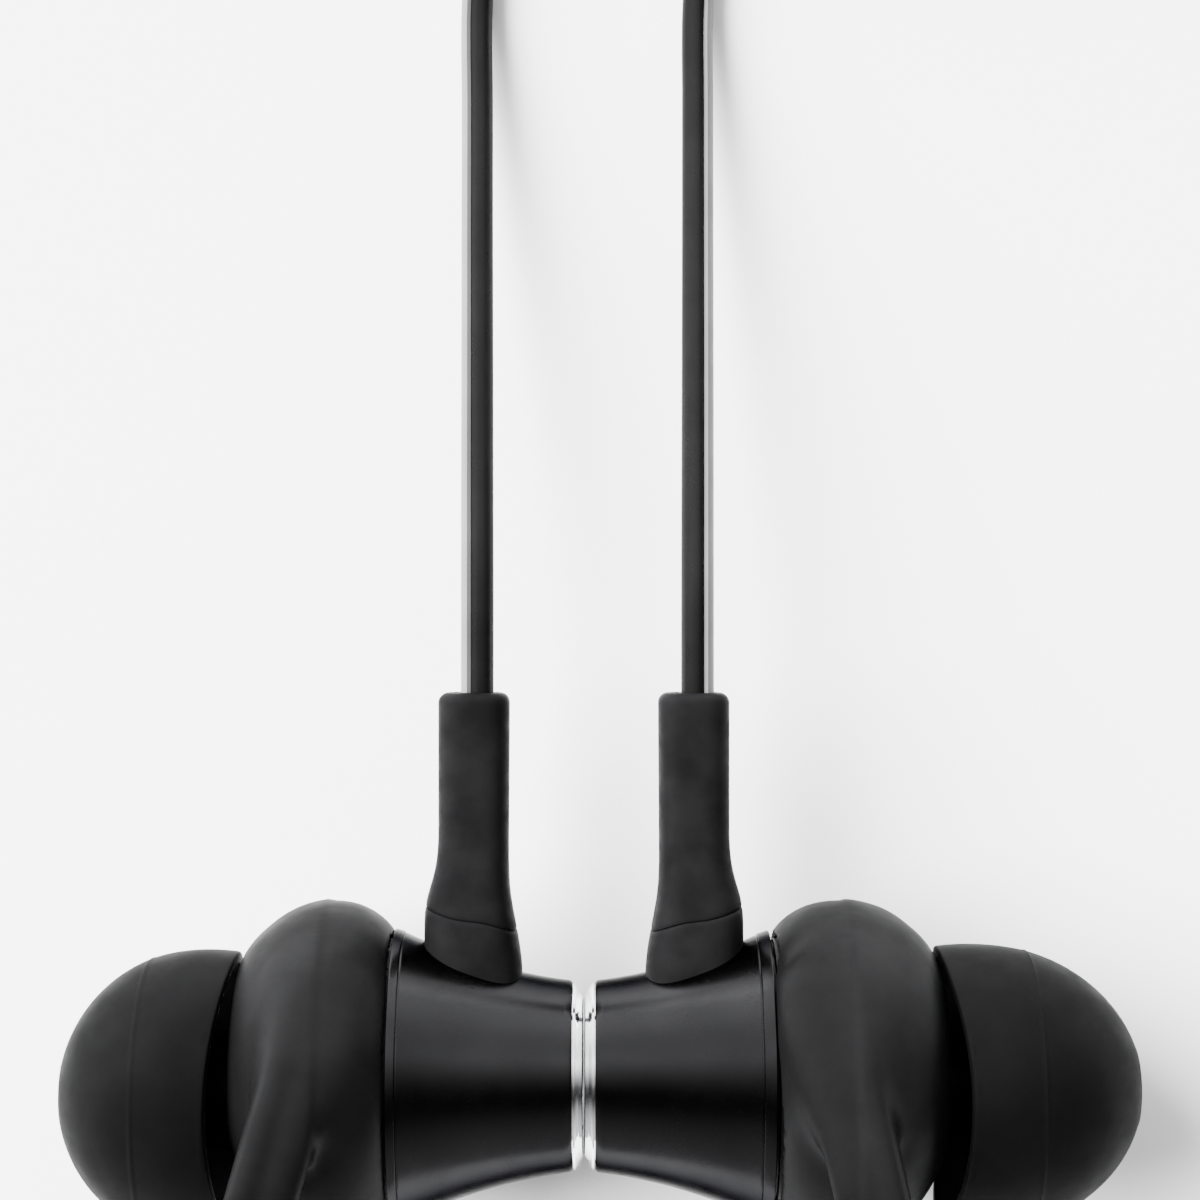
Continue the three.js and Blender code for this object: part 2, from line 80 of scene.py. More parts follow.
BUDS = {
    "left": {"sign": -1, "drop": 0.8, "rim_u": 16.05, "tip_length": 7.75, "tip_r": 6.5, "vent_tilt": -12,
             "fin_u": 12.5, "fin_lean": 0.28, "fin_half": 1.5, "lip_u": 8.18, "lip_end": 8.6,
             "sleeve_longer": 0.0, "rim_bow": 0.4},
    "right": {"sign": 1, "drop": 0.5, "rim_u": 16.45, "tip_length": 8.85, "tip_r": 6.45, "vent_tilt": 12,
              "fin_u": 11.3, "fin_lean": 0.22, "fin_half": 1.65, "lip_u": 7.87, "lip_end": 8.42,
              "sleeve_longer": 0.5, "rim_bow": 0.5},
}

# ---- Camera, light and floor ----
CAMERA_ABOVE_AXIS = 130.0
CAMERA_Y = AXIS_Y + 21.6
VIEW_WIDTH = 54.5
SENSOR = 36.0
NEAREST_SEEN = 5.0
KEY_PLACE = (-1600, 600, 1200)
KEY_TARGET = (0, 10, 0)
KEY_SIDE = 1920.0
KEY_POWER = 672.0
FLOOR_SIDE = 3000.0
BACKDROP_FLAT = 1500.0  # the backdrop's radius where it starts to curve up from the floor
BACKDROP_WALL = 2500.0  # and where it stands upright
BACKDROP_TOP = 2500.0
BACKDROP_LIFT = 0.5


def add_camera():
    """Straight above the cords' first stretch, with the buds along the picture's lower edge."""
    data = bpy.data.cameras.new("camera")
    data.sensor_width = SENSOR
    data.lens = SENSOR * CAMERA_ABOVE_AXIS / VIEW_WIDTH
    data.clip_start = NEAREST_SEEN * MM
    camera = bpy.data.objects.new("camera", data)
    camera.location = Vector((0, CAMERA_Y, AXIS_Z + CAMERA_ABOVE_AXIS)) * MM
    bpy.context.scene.collection.objects.link(camera)
    bpy.context.scene.camera = camera


def add_key_light():
    """A softbox far off on the left, which shapes the forms but isn't mirrored in them."""
    data = bpy.data.lights.new("key", "AREA")
    data.shape = "RECTANGLE"
    data.size = data.size_y = KEY_SIDE * MM
    data.energy = KEY_POWER
    light = bpy.data.objects.new("key", data)
    light.visible_glossy = False
    light.visible_camera = False
    light.location = Vector(KEY_PLACE) * MM
    aim = (Vector(KEY_TARGET) - Vector(KEY_PLACE)).to_track_quat("-Z", "Y")
    light.rotation_euler = aim.to_euler()
    bpy.context.scene.collection.objects.link(light)


def pale_paint():
    paint = bpy.data.materials.new("floor_paint")
    paint.use_nodes = True
    shader = paint.node_tree.nodes["Principled BSDF"]
    shader.inputs["Base Color"].default_value = (0.85, 0.85, 0.85, 1)
    shader.inputs["Roughness"].default_value = 0.9
    return paint


def add_floor(paint):
    side = FLOOR_SIDE
    corners = [(-side, -side, 0), (side, -side, 0), (side, side, 0), (-side, side, 0)]
    floor = bare_object("floor", corners, [(0, 1, 2, 3)])
    floor.data.materials.append(paint)


def add_backdrop(paint):
    """A wall all round that curves up from the floor. Only the camera sees it, so the sky lights
    the object through it."""
    curve = BACKDROP_WALL - BACKDROP_FLAT
    profile = []
    for degrees in range(0, 91, 5):
        turn = math.radians(degrees)
        rise = BACKDROP_LIFT + curve * (1 - math.cos(turn))
        profile.append((rise, BACKDROP_FLAT + curve * math.sin(turn)))
    profile.append((BACKDROP_TOP, BACKDROP_WALL))
    vertices, faces = lathe(profile, 128, False)
    wall = bare_object("backdrop", [(y, z, along) for along, y, z in vertices], faces)
    for polygon in wall.data.polygons:
        polygon.use_smooth = True
    wall.data.materials.append(paint)
    wall.visible_diffuse = False
    wall.visible_glossy = False
    wall.visible_transmission = False
    wall.visible_shadow = False


# The sky's brightness by the angle from overhead, in degrees, + towards the cords: a wide light that
# grows down to that side's horizon, a dark gap overhead, and a weak light on the other side.
SKY_ALONG = [
    (-180, 0.25), (-75, 0.28), (-55, 0.19), (-42, 0.12), (-30, 0.04), (-20, 0.012), (-8, 0.03), (4, 0.15),
    (16, 0.42), (28, 0.75), (42, 0.6), (55, 0.65), (70, 0.92), (95, 1.0),
]
# And by the sideways part of the direction, + to the right, where the light ends sooner.
SKY_ACROSS = [(-1.0, 0.55), (-0.75, 0.95), (-0.5, 1.0), (0.4, 1.0), (0.62, 0.9), (0.8, 0.4), (1.0, 0.08)]
SKY_STRENGTH = 4.2


def add_node(tree, kind, **values):
    """A new shader node with some of its inputs set."""
    node = tree.nodes.new("ShaderNode" + kind)
    for socket, value in values.items():
        node.inputs[socket.replace("_", " ")].default_value = value
    return node


def brightness_ramp(tree, source, low, high, stops):
    """A grey that follows a value through the stops, which lie between low and high."""
    span = add_node(tree, "MapRange", From_Min=low, From_Max=high)
    ramp = add_node(tree, "ValToRGB")
    while len(ramp.color_ramp.elements) < len(stops):
        ramp.color_ramp.elements.new(0.5)
    for element, (place, value) in zip(ramp.color_ramp.elements, stops):
        element.position = (place - low) / (high - low)
        element.color = (value, value, value, 1)
    tree.links.new(source, span.inputs["Value"])
    tree.links.new(span.outputs["Result"], ramp.inputs["Fac"])
    return ramp.outputs["Color"]


def math_node(tree, operation, *sources):
    node = add_node(tree, "Math")
    node.operation = operation
    for socket, source in zip(node.inputs, sources):
        tree.links.new(source, socket)
    return node.outputs[0]


def add_sky():
    world = bpy.data.worlds.new("studio")
    world.use_nodes = True
    tree = world.node_tree
    background = tree.nodes["Background"]
    background.inputs["Strength"].default_value = SKY_STRENGTH
    place = add_node(tree, "TexCoord")
    split = add_node(tree, "SeparateXYZ")
    both = add_node(tree, "MixRGB", Fac=1.0)
    both.blend_type = "MULTIPLY"
    tree.links.new(place.outputs["Generated"], split.inputs[0])
    angle = math_node(tree, "ARCTAN2", split.outputs["Y"], split.outputs["Z"])
    degrees = math_node(tree, "DEGREES", angle)
    tree.links.new(brightness_ramp(tree, degrees, -180, 180, SKY_ALONG), both.inputs["Color1"])
    tree.links.new(brightness_ramp(tree, split.outputs["X"], -1, 1, SKY_ACROSS), both.inputs["Color2"])
    tree.links.new(both.outputs["Color"], background.inputs["Color"])
    bpy.context.scene.world = world


def add_studio():
    add_sky()
    add_key_light()
    paint = pale_paint()
    add_floor(paint)
    add_backdrop(paint)


# ---- Materials ----
def noise_on(tree, place, scale, detail):
    """Noise in object space; scale is in grains per metre."""
    noise = add_node(tree, "TexNoise", Scale=scale, Detail=detail)
    tree.links.new(place.outputs["Object"], noise.inputs["Vector"])
    return noise.outputs["Fac"]


def grain(tree, place, shader, scale, strength, distance):
    """A fine bump from noise."""
    bump = add_node(tree, "Bump", Strength=strength, Distance=distance)
    tree.links.new(noise_on(tree, place, scale, 4.0), bump.inputs["Height"])
    tree.links.new(bump.outputs["Normal"], shader.inputs["Normal"])


def mottled(tree, place, shader, socket, scale, low, high):
    """The socket's value drifts between low and high over patches of the surface."""
    ramp = add_node(tree, "ValToRGB")
    for element, position, value in zip(ramp.color_ramp.elements, (0.35, 0.65), (low, high)):
        element.position = position
        element.color = (*value, 1)
    tree.links.new(noise_on(tree, place, scale, 3.0), ramp.inputs["Fac"])
    tree.links.new(ramp.outputs["Color"], shader.inputs[socket])


GRAIN_DEPTH = 0.00002  # metres


def make_material(name, dark, light, roughness, metallic=0.0, patch=300.0, fine=9000.0, bump=0.15,
                  gloss=0.5, edge=1.0):
    """A moulded or metal surface: colour patches, roughness patches and a fine grain. The edge is
    how bright the surface's reflections are where it is seen at a slant."""
    material = bpy.data.materials.new(name)
    material.use_nodes = True
    tree = material.node_tree
    shader = tree.nodes["Principled BSDF"]
    shader.inputs["Metallic"].default_value = metallic
    shader.inputs["Specular IOR Level"].default_value = gloss
    shader.inputs["Specular Tint"].default_value = (edge, edge, edge, 1)
    place = add_node(tree, "TexCoord")
    grain(tree, place, shader, fine, bump, GRAIN_DEPTH)
    mottled(tree, place, shader, "Base Color", patch, dark, light)
    low, high = roughness
    mottled(tree, place, shader, "Roughness", patch * 2.3, (low,) * 3, (high,) * 3)
    return material


# Each look's darkest and lightest colour, its range of roughness, and what differs from
# make_material's usual values.
MATERIALS = {
    # satin black anodised aluminium
    "black_metal": ((0.021, 0.021, 0.022), (0.024, 0.024, 0.025), (0.22, 0.28),
                    dict(metallic=1.0, fine=14000, bump=0.03, edge=0.38)),
    "chrome_trim": ((0.86, 0.87, 0.88), (0.9, 0.91, 0.92), (0.06, 0.1), dict(metallic=1.0, bump=0.02)),
    # matte silicone
    "wing_silicone": ((0.0112, 0.0112, 0.0116), (0.0138, 0.0138, 0.0143), (0.42, 0.5),
                      dict(metallic=0.85, bump=0.12, gloss=0.04, edge=0.5)),
    "tip_silicone": ((0.0062, 0.0062, 0.0065), (0.0078, 0.0078, 0.0081), (0.5, 0.58),
                     dict(metallic=0.8, bump=0.1, gloss=0.05, edge=0.5)),
    "boot_rubber": ((0.0062, 0.0062, 0.0065), (0.0098, 0.0098, 0.0102), (0.5, 0.64),
                    dict(metallic=0.6, patch=500, bump=0.3, gloss=0.05, edge=0.5)),
    "cord_rubber": ((0.0115, 0.0115, 0.0115), (0.0145, 0.0145, 0.0145), (0.26, 0.34),
                    dict(metallic=0.8, bump=0.08, gloss=0.1, edge=0.5)),
    "cord_strip": ((0.088, 0.088, 0.0865), (0.105, 0.105, 0.103), (0.4, 0.5), dict(bump=0.1, gloss=0.25)),
    "black_plastic": ((0.0024, 0.0024, 0.0026), (0.0038, 0.0038, 0.004), (0.42, 0.52),
                      dict(bump=0.2, gloss=0.15)),
    "steel": ((0.5, 0.5, 0.51), (0.62, 0.62, 0.63), (0.25, 0.35), dict(metallic=1.0)),
    "nickel": ((0.6, 0.6, 0.6), (0.68, 0.68, 0.67), (0.18, 0.26), dict(metallic=1.0)),
    "copper": ((0.6, 0.28, 0.14), (0.75, 0.4, 0.22), (0.25, 0.35), dict(metallic=1.0)),
    "film": ((0.55, 0.47, 0.32), (0.66, 0.58, 0.42), (0.2, 0.3), {}),
    "circuit_board": ((0.01, 0.08, 0.03), (0.02, 0.13, 0.05), (0.3, 0.4), {}),
    "gold_contact": ((0.78, 0.55, 0.2), (0.86, 0.64, 0.28), (0.14, 0.2), dict(metallic=1.0, bump=0.02)),
}
LOOKS = {name: make_material(name, *tones, **rest) for name, (*tones, rest) in MATERIALS.items()}
# ---- Mesh helpers ----
def bare_object(name, vertices, faces):
    """An object in metres from vertices in millimetres."""
    mesh = bpy.data.meshes.new(name)
    mesh.from_pydata((np.array([tuple(v) for v in vertices]) * MM).tolist(), [], faces)
    thing = bpy.data.objects.new(name, mesh)
    bpy.context.scene.collection.objects.link(thing)
    return thing
def outward(vertices, faces):
    """Turns the faces over if the closed surface encloses a negative volume."""
    points = np.array([tuple(v) for v in vertices])
    corners = np.array([(f[0], f[i], f[i + 1]) for f in faces for i in range(1, len(f) - 1)])
    a, b, c = (points[corners[:, i]] for i in range(3))
    if np.einsum("ij,ij->i", a, np.cross(b, c)).sum() < 0:
        return [tuple(face)[::-1] for face in faces]
    return faces


def finish_mesh(name, vertices, faces, look, body, nodes=(), sharp=32.0, cutters=()):
    """Makes a smooth-shaded piece in metres that rides on a body and stands for CAD nodes. Each
    cutter is the vertices and faces of a solid that is taken away."""
    piece = bare_object(name, vertices, outward(vertices, faces))
    for cutter_vertices, cutter_faces in cutters:
        drill(piece, cutter_vertices, cutter_faces)
    for polygon in piece.data.polygons:
        polygon.use_smooth = True
    piece.data.set_sharp_from_angle(angle=math.radians(sharp))
    piece.data.materials.append(LOOKS[look])
    if body:
        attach(piece, body)
    if nodes:
        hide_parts(*nodes)
    return piece


def drill(piece, vertices, faces):
    """Takes a solid away from a piece."""
    cutter = bare_object("cutter", vertices, outward(vertices, faces))
    cut = piece.modifiers.new("cut", "BOOLEAN")
    cut.operation = "DIFFERENCE"
    cut.solver = "EXACT"
    cut.object = cutter
    result = piece.evaluated_get(bpy.context.evaluated_depsgraph_get())
    mesh = bpy.data.meshes.new_from_object(result)
    piece.modifiers.remove(cut)
    piece.data = mesh
    bpy.data.objects.remove(cutter)


def rounded(points, steps=4):
    """An outline from (x, y, corner radius) points, with each corner as a curve of short steps. A
    point without a radius is kept as it is."""
    result = []
    count = len(points)
    for i, (x, y, *corner) in enumerate(points):
        here = Vector((x, y))
        if not corner:
            result.append(here)
            continue
        before = Vector(points[i - 1][:2]) - here
        after = Vector(points[(i + 1) % count][:2]) - here
        angle = before.angle(after)
        reach = min(corner[0] / math.tan(angle / 2), before.length * 0.49, after.length * 0.49)
        start = here + before.normalized() * reach
        end = here + after.normalized() * reach
        for k in range(steps + 1):
            t = k / steps
            result.append(start.lerp(here, t).lerp(here.lerp(end, t), t))
    return result


def lathe(outline, segments, closed_outline=True):
    """Vertices and faces of a solid turned about +X from (along, radius) points."""
    vertices, rings = [], []
    for along, radius in outline:
        if radius < 1e-6:
            rings.append([len(vertices)] * segments)
            vertices.append((along, 0, 0))
            continue
        rings.append(list(range(len(vertices), len(vertices) + segments)))
        for k in range(segments):
            angle = 2 * math.pi * k / segments
            vertices.append((along, radius * math.cos(angle), radius * math.sin(angle)))
    return vertices, ring_faces(rings, closed_outline)


def ring_faces(rings, wrap):
    """Faces between neighbouring rings of vertex numbers, and from the last to the first."""
    faces = []
    pairs = list(zip(rings, rings[1:]))
    if wrap:
        pairs.append((rings[-1], rings[0]))
    for first, second in pairs:
        count = len(first)
        for k in range(count):
            n = (k + 1) % count
            face = list(dict.fromkeys([first[k], second[k], second[n], first[n]]))
            if len(face) > 2:
                faces.append(face)
    return faces


def loft(rows, wrap=False):
    """Vertices and faces through rows of points. The ends are closed flat unless it wraps round."""
    size = len(rows[0])
    vertices = [point for row in rows for point in row]
    rings = [list(range(i * size, (i + 1) * size)) for i in range(len(rows))]
    faces = ring_faces(rings, wrap)
    if not wrap:
        faces += [rings[0], rings[-1][::-1]]
    return vertices, faces


def swept(path, section, up):
    """Rows of a section's (across, rise) points along a path that never runs along up."""
    rows = []
    for i, point in enumerate(path):
        tangent = (path[min(i + 1, len(path) - 1)] - path[max(i - 1, 0)]).normalized()
        across = tangent.cross(up).normalized()
        rise = across.cross(tangent).normalized()
        rows.append([point + across * a + rise * b for a, b in section])
    return rows


def edge_curve(radius):
    """How far in and how far up each row of a rounded edge lies, from its side to its top."""
    turns = [math.radians(degrees) for degrees in range(15, 91, 15)]
    return [(radius * (1 - math.cos(turn)), radius * math.sin(turn)) for turn in turns]


def bud_place(vertices, side, drop=0.0):
    """From a bud's own frame to the object's."""
    sign = BUDS[side]["sign"]
    return [(CONTACT_X + sign * u, AXIS_Y - drop + y, AXIS_Z + z) for u, y, z in vertices]


def bud_piece(side, name, vertices, faces, look, node, body="bud", drop=0.0, **rest):
    """A piece of one bud, from vertices in the bud's own frame."""
    finish_mesh(f"{side}_{name}", bud_place(vertices, side, drop), faces, look, f"{side}_{body}",
                [f"{side}_{node}"], **rest)


def turned_piece(side, name, outline, look, node, drop=0.0, closed_outline=True, segments=128,
                 cutters=()):
    """A piece turned about a bud's axis, or about its nozzle's when it is dropped."""
    placed = [(bud_place(points, side), cuts) for points, cuts in cutters]
    bud_piece(side, name, *lathe(outline, segments, closed_outline), look, node, drop=drop,
              cutters=placed)
def catmull(points, spacing):
    """A smooth line through the points, with about one point every spacing."""
    p = [Vector(v) for v in points]
    p = [p[0] * 2 - p[1], *p, p[-1] * 2 - p[-2]]
    result = []
    for a, b, c, d in zip(p, p[1:], p[2:], p[3:]):
        steps = max(1, round((c - b).length / spacing))
        for k in range(steps):
            t = k / steps
            result.append(0.5 * (2 * b + (c - a) * t + (2 * a - 5 * b + 4 * c - d) * t * t
                                 + (3 * b - a - 3 * c + d) * t ** 3))
    result.append(p[-2])
    return result


def smoothstep(t):
    t = np.clip(t, 0.0, 1.0)
    return t * t * (3 - 2 * t)


# ---- The bud's housing ----
HORN_START_R = 4.24
HORN_SLOPE = 0.09
HORN_FLARE = 0.0228
GROOVE_WIDTH = 0.1
GROOVE_DEPTH = 0.08
LIP_RISE = 0.04
CORD_HOLE_R = 0.97
VENT_R = 0.3
VENT_U = 5.3


def horn_radius(u):
    return HORN_START_R + HORN_SLOPE * u + HORN_FLARE * u * u


def rod(radius, start, end, u, tilt=0.0):
    """A cutter along y at u, tilted towards z by some degrees."""
    vertices, faces = lathe([(start, 0), (start, radius), (end, radius), (end, 0)], 32, False)
    turn = math.radians(tilt)
    placed = []
    for along, side, rise in vertices:
        y, z = along * math.cos(turn), along * math.sin(turn)
        placed.append((u + side, y - rise * math.sin(turn), z + rise * math.cos(turn)))
    return placed, faces


def add_shell(side):
    """The flared housing, with a raised lip behind a fine groove, a cord hole and a vent."""
    bud = BUDS[side]
    lip, end = bud["lip_u"], bud["lip_end"]
    groove = lip - GROOVE_WIDTH
    outer = [(u, horn_radius(u)) for u in np.linspace(SHELL_SMALL_U + 0.12, groove, 27)]
    inner = [(u, horn_radius(u) - SHELL_WALL) for u in np.linspace(8.3, 2.4, 6)]
    raised = horn_radius(lip) + LIP_RISE
    floor = horn_radius(groove) - GROOVE_DEPTH
    outline = [
        (SHELL_SMALL_U, 3.87), (SHELL_SMALL_U, RING_R - 0.02), *outer, (groove + 0.01, floor),
        *rounded([
            (lip - 0.01, floor), (lip, raised, 0.05), (end - 0.02, horn_radius(end) - 0.04, 0.08),
            (end, 6.27), (8.38, 6.27),
        ]),
        *inner,
        (2.2, 3.87),
    ]
    cord_hole = rod(CORD_HOLE_R, 2, 8, BOOT_U)
    vent = rod(VENT_R, -8, -3, VENT_U, tilt=-abs(bud["vent_tilt"]))
    turned_piece(side, "housing", outline, "black_metal", "body_shell", segments=144,
                 cutters=[cord_hole, vent])


def add_back(side):
    """The bright bevelled ring round the back, and the flat cap that the magnet pulls through."""
    ring = rounded([
        (0.04, 3.5), (0.04, 3.66, 0.05), (0.24, 4.0, 0.2), (0.38, 4.2, 0.06), (0.48, 4.2, 0.02),
        (0.48, 3.75), (1.4, 3.75), (1.4, 3.5),
    ])
    turned_piece(side, "trim_ring", ring, "chrome_trim", "back_ring", segments=144)
    cap = rounded([
        (0.62, 0), (0.62, 3.35, 0.05), (0.24, 3.35, 0.08), (0.18, 3.1, 0.05), (0.18, 2.5, 0.05),
        (0.26, 2.42, 0.03), (0.26, 0),
    ])
    turned_piece(side, "dished_cap", cap, "black_plastic", "back_cap", closed_outline=False,
                 segments=96)


def add_nose(side):
    """The cone behind the ear wing. Its nozzle is off the bud's axis, on the side away from the
    cords."""
    drop = BUDS[side]["drop"]
    outline = rounded([
        (14.9, 0), (14.9, 3.7, 0.2), (13.6, 5.2, 0.4), (9.4, 6.2, 0.3), (8.58, 6.2), (8.58, 5.45),
        (7.6, 5.45), (7.6, 5.05), (9.2, 5.15), (13.0, 4.6), (13.8, 4.4), (13.8, 0),
    ])
    hole, faces = lathe([(13, 0), (13, STEM_BORE_R), (16, STEM_BORE_R), (16, 0)], 64, False)
    hole = [(u, y - drop, z) for u, y, z in hole]
    turned_piece(side, "nose", outline, "black_plastic", "nose_cone", closed_outline=False,
                 cutters=[(hole, faces)])
    tube = rounded([
        (12.9, 1.7), (12.9, 3.4, 0.08), (13.5, 3.4, 0.08), (13.5, NOZZLE_R),
        (NOZZLE_END_U - 1.3, NOZZLE_R), (NOZZLE_END_U - 1.1, NOZZLE_R - 0.12),
        (NOZZLE_END_U - 0.9, NOZZLE_R), (NOZZLE_END_U, NOZZLE_R, 0.15), (NOZZLE_END_U, 2.15, 0.04),
        (NOZZLE_END_U - 0.5, 2.15), (NOZZLE_END_U - 0.5, 1.7),
    ])
    turned_piece(side, "nozzle_tube", tube, "black_metal", "nozzle", drop=drop, segments=96)


def add_nozzle_weave(side):
    """A woven wire screen in a thin rim, just inside the end of the nozzle."""
    reach, pitch, wire = 1.95, 0.3, 0.055
    turns = [2 * math.pi * k / 6 for k in range(6)]
    section = [(wire * math.cos(turn), wire * math.sin(turn)) for turn in turns]
    middle = NOZZLE_END_U - 0.25
    vertices, faces = lathe(rounded([
        (middle - 0.12, 1.82, 0.03), (middle - 0.12, 2.05, 0.03), (middle + 0.12, 2.05, 0.03),
        (middle + 0.12, 1.82, 0.03),
    ], 2), 64)
    count = int(reach / pitch)
    for direction in (0, 1):
        for number in range(-count, count + 1):
            offset = number * pitch
            half = math.sqrt(max(0.0, reach ** 2 - offset ** 2))
            steps = max(4, int(2 * half / (pitch / 4)))
            path = []
            for i in range(steps + 1):
                along = -half + 2 * half * i / steps
                wave = wire * 0.9 * math.cos(math.pi * (along / pitch + number + direction))
                across = (along, offset) if direction else (offset, along)
                path.append(Vector((middle + wave, *across)))
            tube, tube_faces = loft(swept(path, section, Vector((1, 0, 0))))
            first = len(vertices)
            vertices += [tuple(v) for v in tube]
            faces += [[first + i for i in face] for face in tube_faces]
    bud_piece(side, "nozzle_weave", vertices, faces, "steel", "nozzle_mesh",
              drop=BUDS[side]["drop"], sharp=60)


# ---- Ear tips ----
TIP_SKIRT = 1.4
TIP_SEAM = 3.6  # a fine mould line round the dome, from the rim
TIP_SEAM_RISE = 0.045
TIP_SEAM_WIDTH = 0.06
DOME_DEGREES = 74.5
DOME_STEPS = 90
HOLLOW_DEGREES = 44
HOLLOW_STEPS = 12
TIP_SKIN = 0.9


def add_ear_tip(side):
    """A silicone dome with an open back, on a ribbed stem that grips the nozzle. Its soft rim bows
    a little: further out above and below than at the sides."""
    bud = BUDS[side]
    length, radius = bud["tip_length"], bud["tip_r"]
    reach = length - TIP_SKIRT
    skirt = [(along, radius - 0.1 * (1 - along / TIP_SKIRT) ** 2) for along in np.linspace(0.25, 1.3, 8)]
    dome = []
    for i in range(DOME_STEPS + 1):
        angle = math.radians(DOME_DEGREES) * i / DOME_STEPS
        along = TIP_SKIRT + reach * math.sin(angle)
        seam = TIP_SEAM_RISE * math.exp(-((along - TIP_SEAM) / TIP_SEAM_WIDTH) ** 2)
        dome.append((along + seam * math.sin(angle), (radius + seam) * math.cos(angle)))
    hollow = []
    for i in range(HOLLOW_STEPS, -1, -1):
        angle = math.radians(HOLLOW_DEGREES) * i / HOLLOW_STEPS
        hollow.append((TIP_SKIRT + (reach - 1.6) * math.sin(angle), (radius - TIP_SKIN) * math.cos(angle)))
    ribs = []
    for i in range(4):
        rib = 2.5 + 0.75 * i
        ribs += [(rib, 3.5), (rib + 0.15, 3.62), (rib + 0.35, 3.62), (rib + 0.5, 3.5)]
    mouth = [dome[-1], (length - 0.32, 1.95, 0.35), (length - 0.8, 1.75, 0.2), (length - 2.1, 1.75)]
    outline = [
        *rounded([(0, radius - 0.75, 0.2), (0, radius - 0.1, 0.16), skirt[0]]),
        *skirt,
        *dome,
        *rounded(mouth)[1:],
        (length - 2.1, STEM_BORE_R), (2.1, STEM_BORE_R), (1.8, STEM_BORE_R + 0.2), (1.8, 3.3), (2.0, 3.5),
        *[point for point in ribs if point[0] < length - 3.5],
        (length - 3.4, 3.6),
        *hollow,
    ]
    vertices, faces = lathe(outline, 144)
    bowed = []
    for along, y, z in vertices:
        bow = bud["rim_bow"] * (z * z - y * y) / radius ** 2
        near_rim = 1 - float(smoothstep(along / 4))
        bowed.append((bud["rim_u"] + along + bow * near_rim, y, z))
    bud_piece(side, "tip", bowed, faces, "tip_silicone", "ear_tip", "tip", bud["drop"])


# ---- Ear wings ----
SLEEVE_OUTSIDE = [
    (8.6, 6.5), (9.0, 7.02), (9.55, 7.48), (10.35, 7.84), (11.4, 7.97), (12.5, 7.77), (13.4, 7.39),
    (14.15, 6.9), (14.8, 6.33), (15.33, 5.62), (15.6, 4.9), (15.58, 4.25), (15.3, 3.68),
]
SLEEVE_INSIDE = [(15.06, 3.68), (13.72, 5.38), (9.46, 6.38), (8.6, 6.38)]
FIN_MIDDLE = [
    (4.5, 5.4), (2.7, 6.55), (0.3, 7.7), (-2.5, 8.65), (-5.5, 9.2), (-8.5, 9.1), (-11.3, 8.0),
    (-13.4, 6.1), (-14.35, 4.4),
]
OUTLINE_STEP = 0.3
FIN_STEP = 0.8
SLEEVE_START = 8.6
SLEEVE_GAP = 0.03  # between the sleeve and the housing's lip
BORE = (7.5, 18.0)
DRAWN_BACK = 0.9
FIN_END = 0.88  # where along its path the fin's last taper starts
FIN_TAPER = 0.16
FIN_END_TAPER = 0.25
FIN_THICK = 0.85
FIN_RIB_R = 0.62
FIN_RIB_RISE = 0.42
FIN_RIB_FILLET = 0.45
FIN_ROOT_FILLET = 1.1
PARTING_U = 11.5
PARTING_STEP = 0.045
PARTING_WIDTH = 0.1
PARTING_INNER_R = 6.6  # where the step starts to show
SKIN_STEP = 0.2
SKIN_ROUNDS = 8
EVENING_ROUNDS = 5
LEAST_SLOPE = 0.3
WING_LOW = (8.2, -16.4, -8.4)
WING_HIGH = (18.8, 8.4, 11.0)


def outline_field(along, radius, outline):
    """Distance of each (along, radius) from a closed outline, negative inside."""
    best = np.full(len(along), np.inf)
    inside = np.zeros(len(along), bool)
    for (ax, ay), (bx, by) in zip(outline, outline[1:] + outline[:1]):
        ex, ey = bx - ax, by - ay
        wx, wy = along - ax, radius - ay
        t = np.clip((wx * ex + wy * ey) / (ex * ex + ey * ey), 0, 1)
        best = np.minimum(best, (wx - ex * t) ** 2 + (wy - ey * t) ** 2)
        if ey != 0:
            inside ^= ((ay > radius) != (by > radius)) & (along < ax + wy * ex / ey)
    return np.where(inside, -1.0, 1.0) * np.sqrt(best)


def blended(a, b, reach):
    """The union of two fields with a fillet of about the given reach."""
    mix = np.clip(0.5 + 0.5 * (b - a) / reach, 0, 1)
    return b * (1 - mix) + a * mix - reach * mix * (1 - mix)


def nearest_on_path(points, path):
    """For each point: the offset from the nearest place on the path, and where that is, 0 to 1."""
    best = np.full(len(points), np.inf)
    offset = np.zeros_like(points)
    where = np.zeros(len(points))
    for i, (a, b) in enumerate(zip(path, path[1:])):
        edge = b - a
        t = np.clip((points - a) @ edge / (edge @ edge), 0, 1)
        away = points - a - t[:, None] * edge
        distance = (away ** 2).sum(axis=1)
        closer = distance < best
        best[closer] = distance[closer]
        offset[closer] = away[closer]
        where[closer] = (i + t[closer]) / (len(path) - 1)
    return offset, where


def fin_path(bud):
    points = [(bud["fin_u"] - bud["fin_lean"] * y, y, z) for y, z in FIN_MIDDLE]
    return np.array([tuple(p) for p in catmull(points, FIN_STEP)])


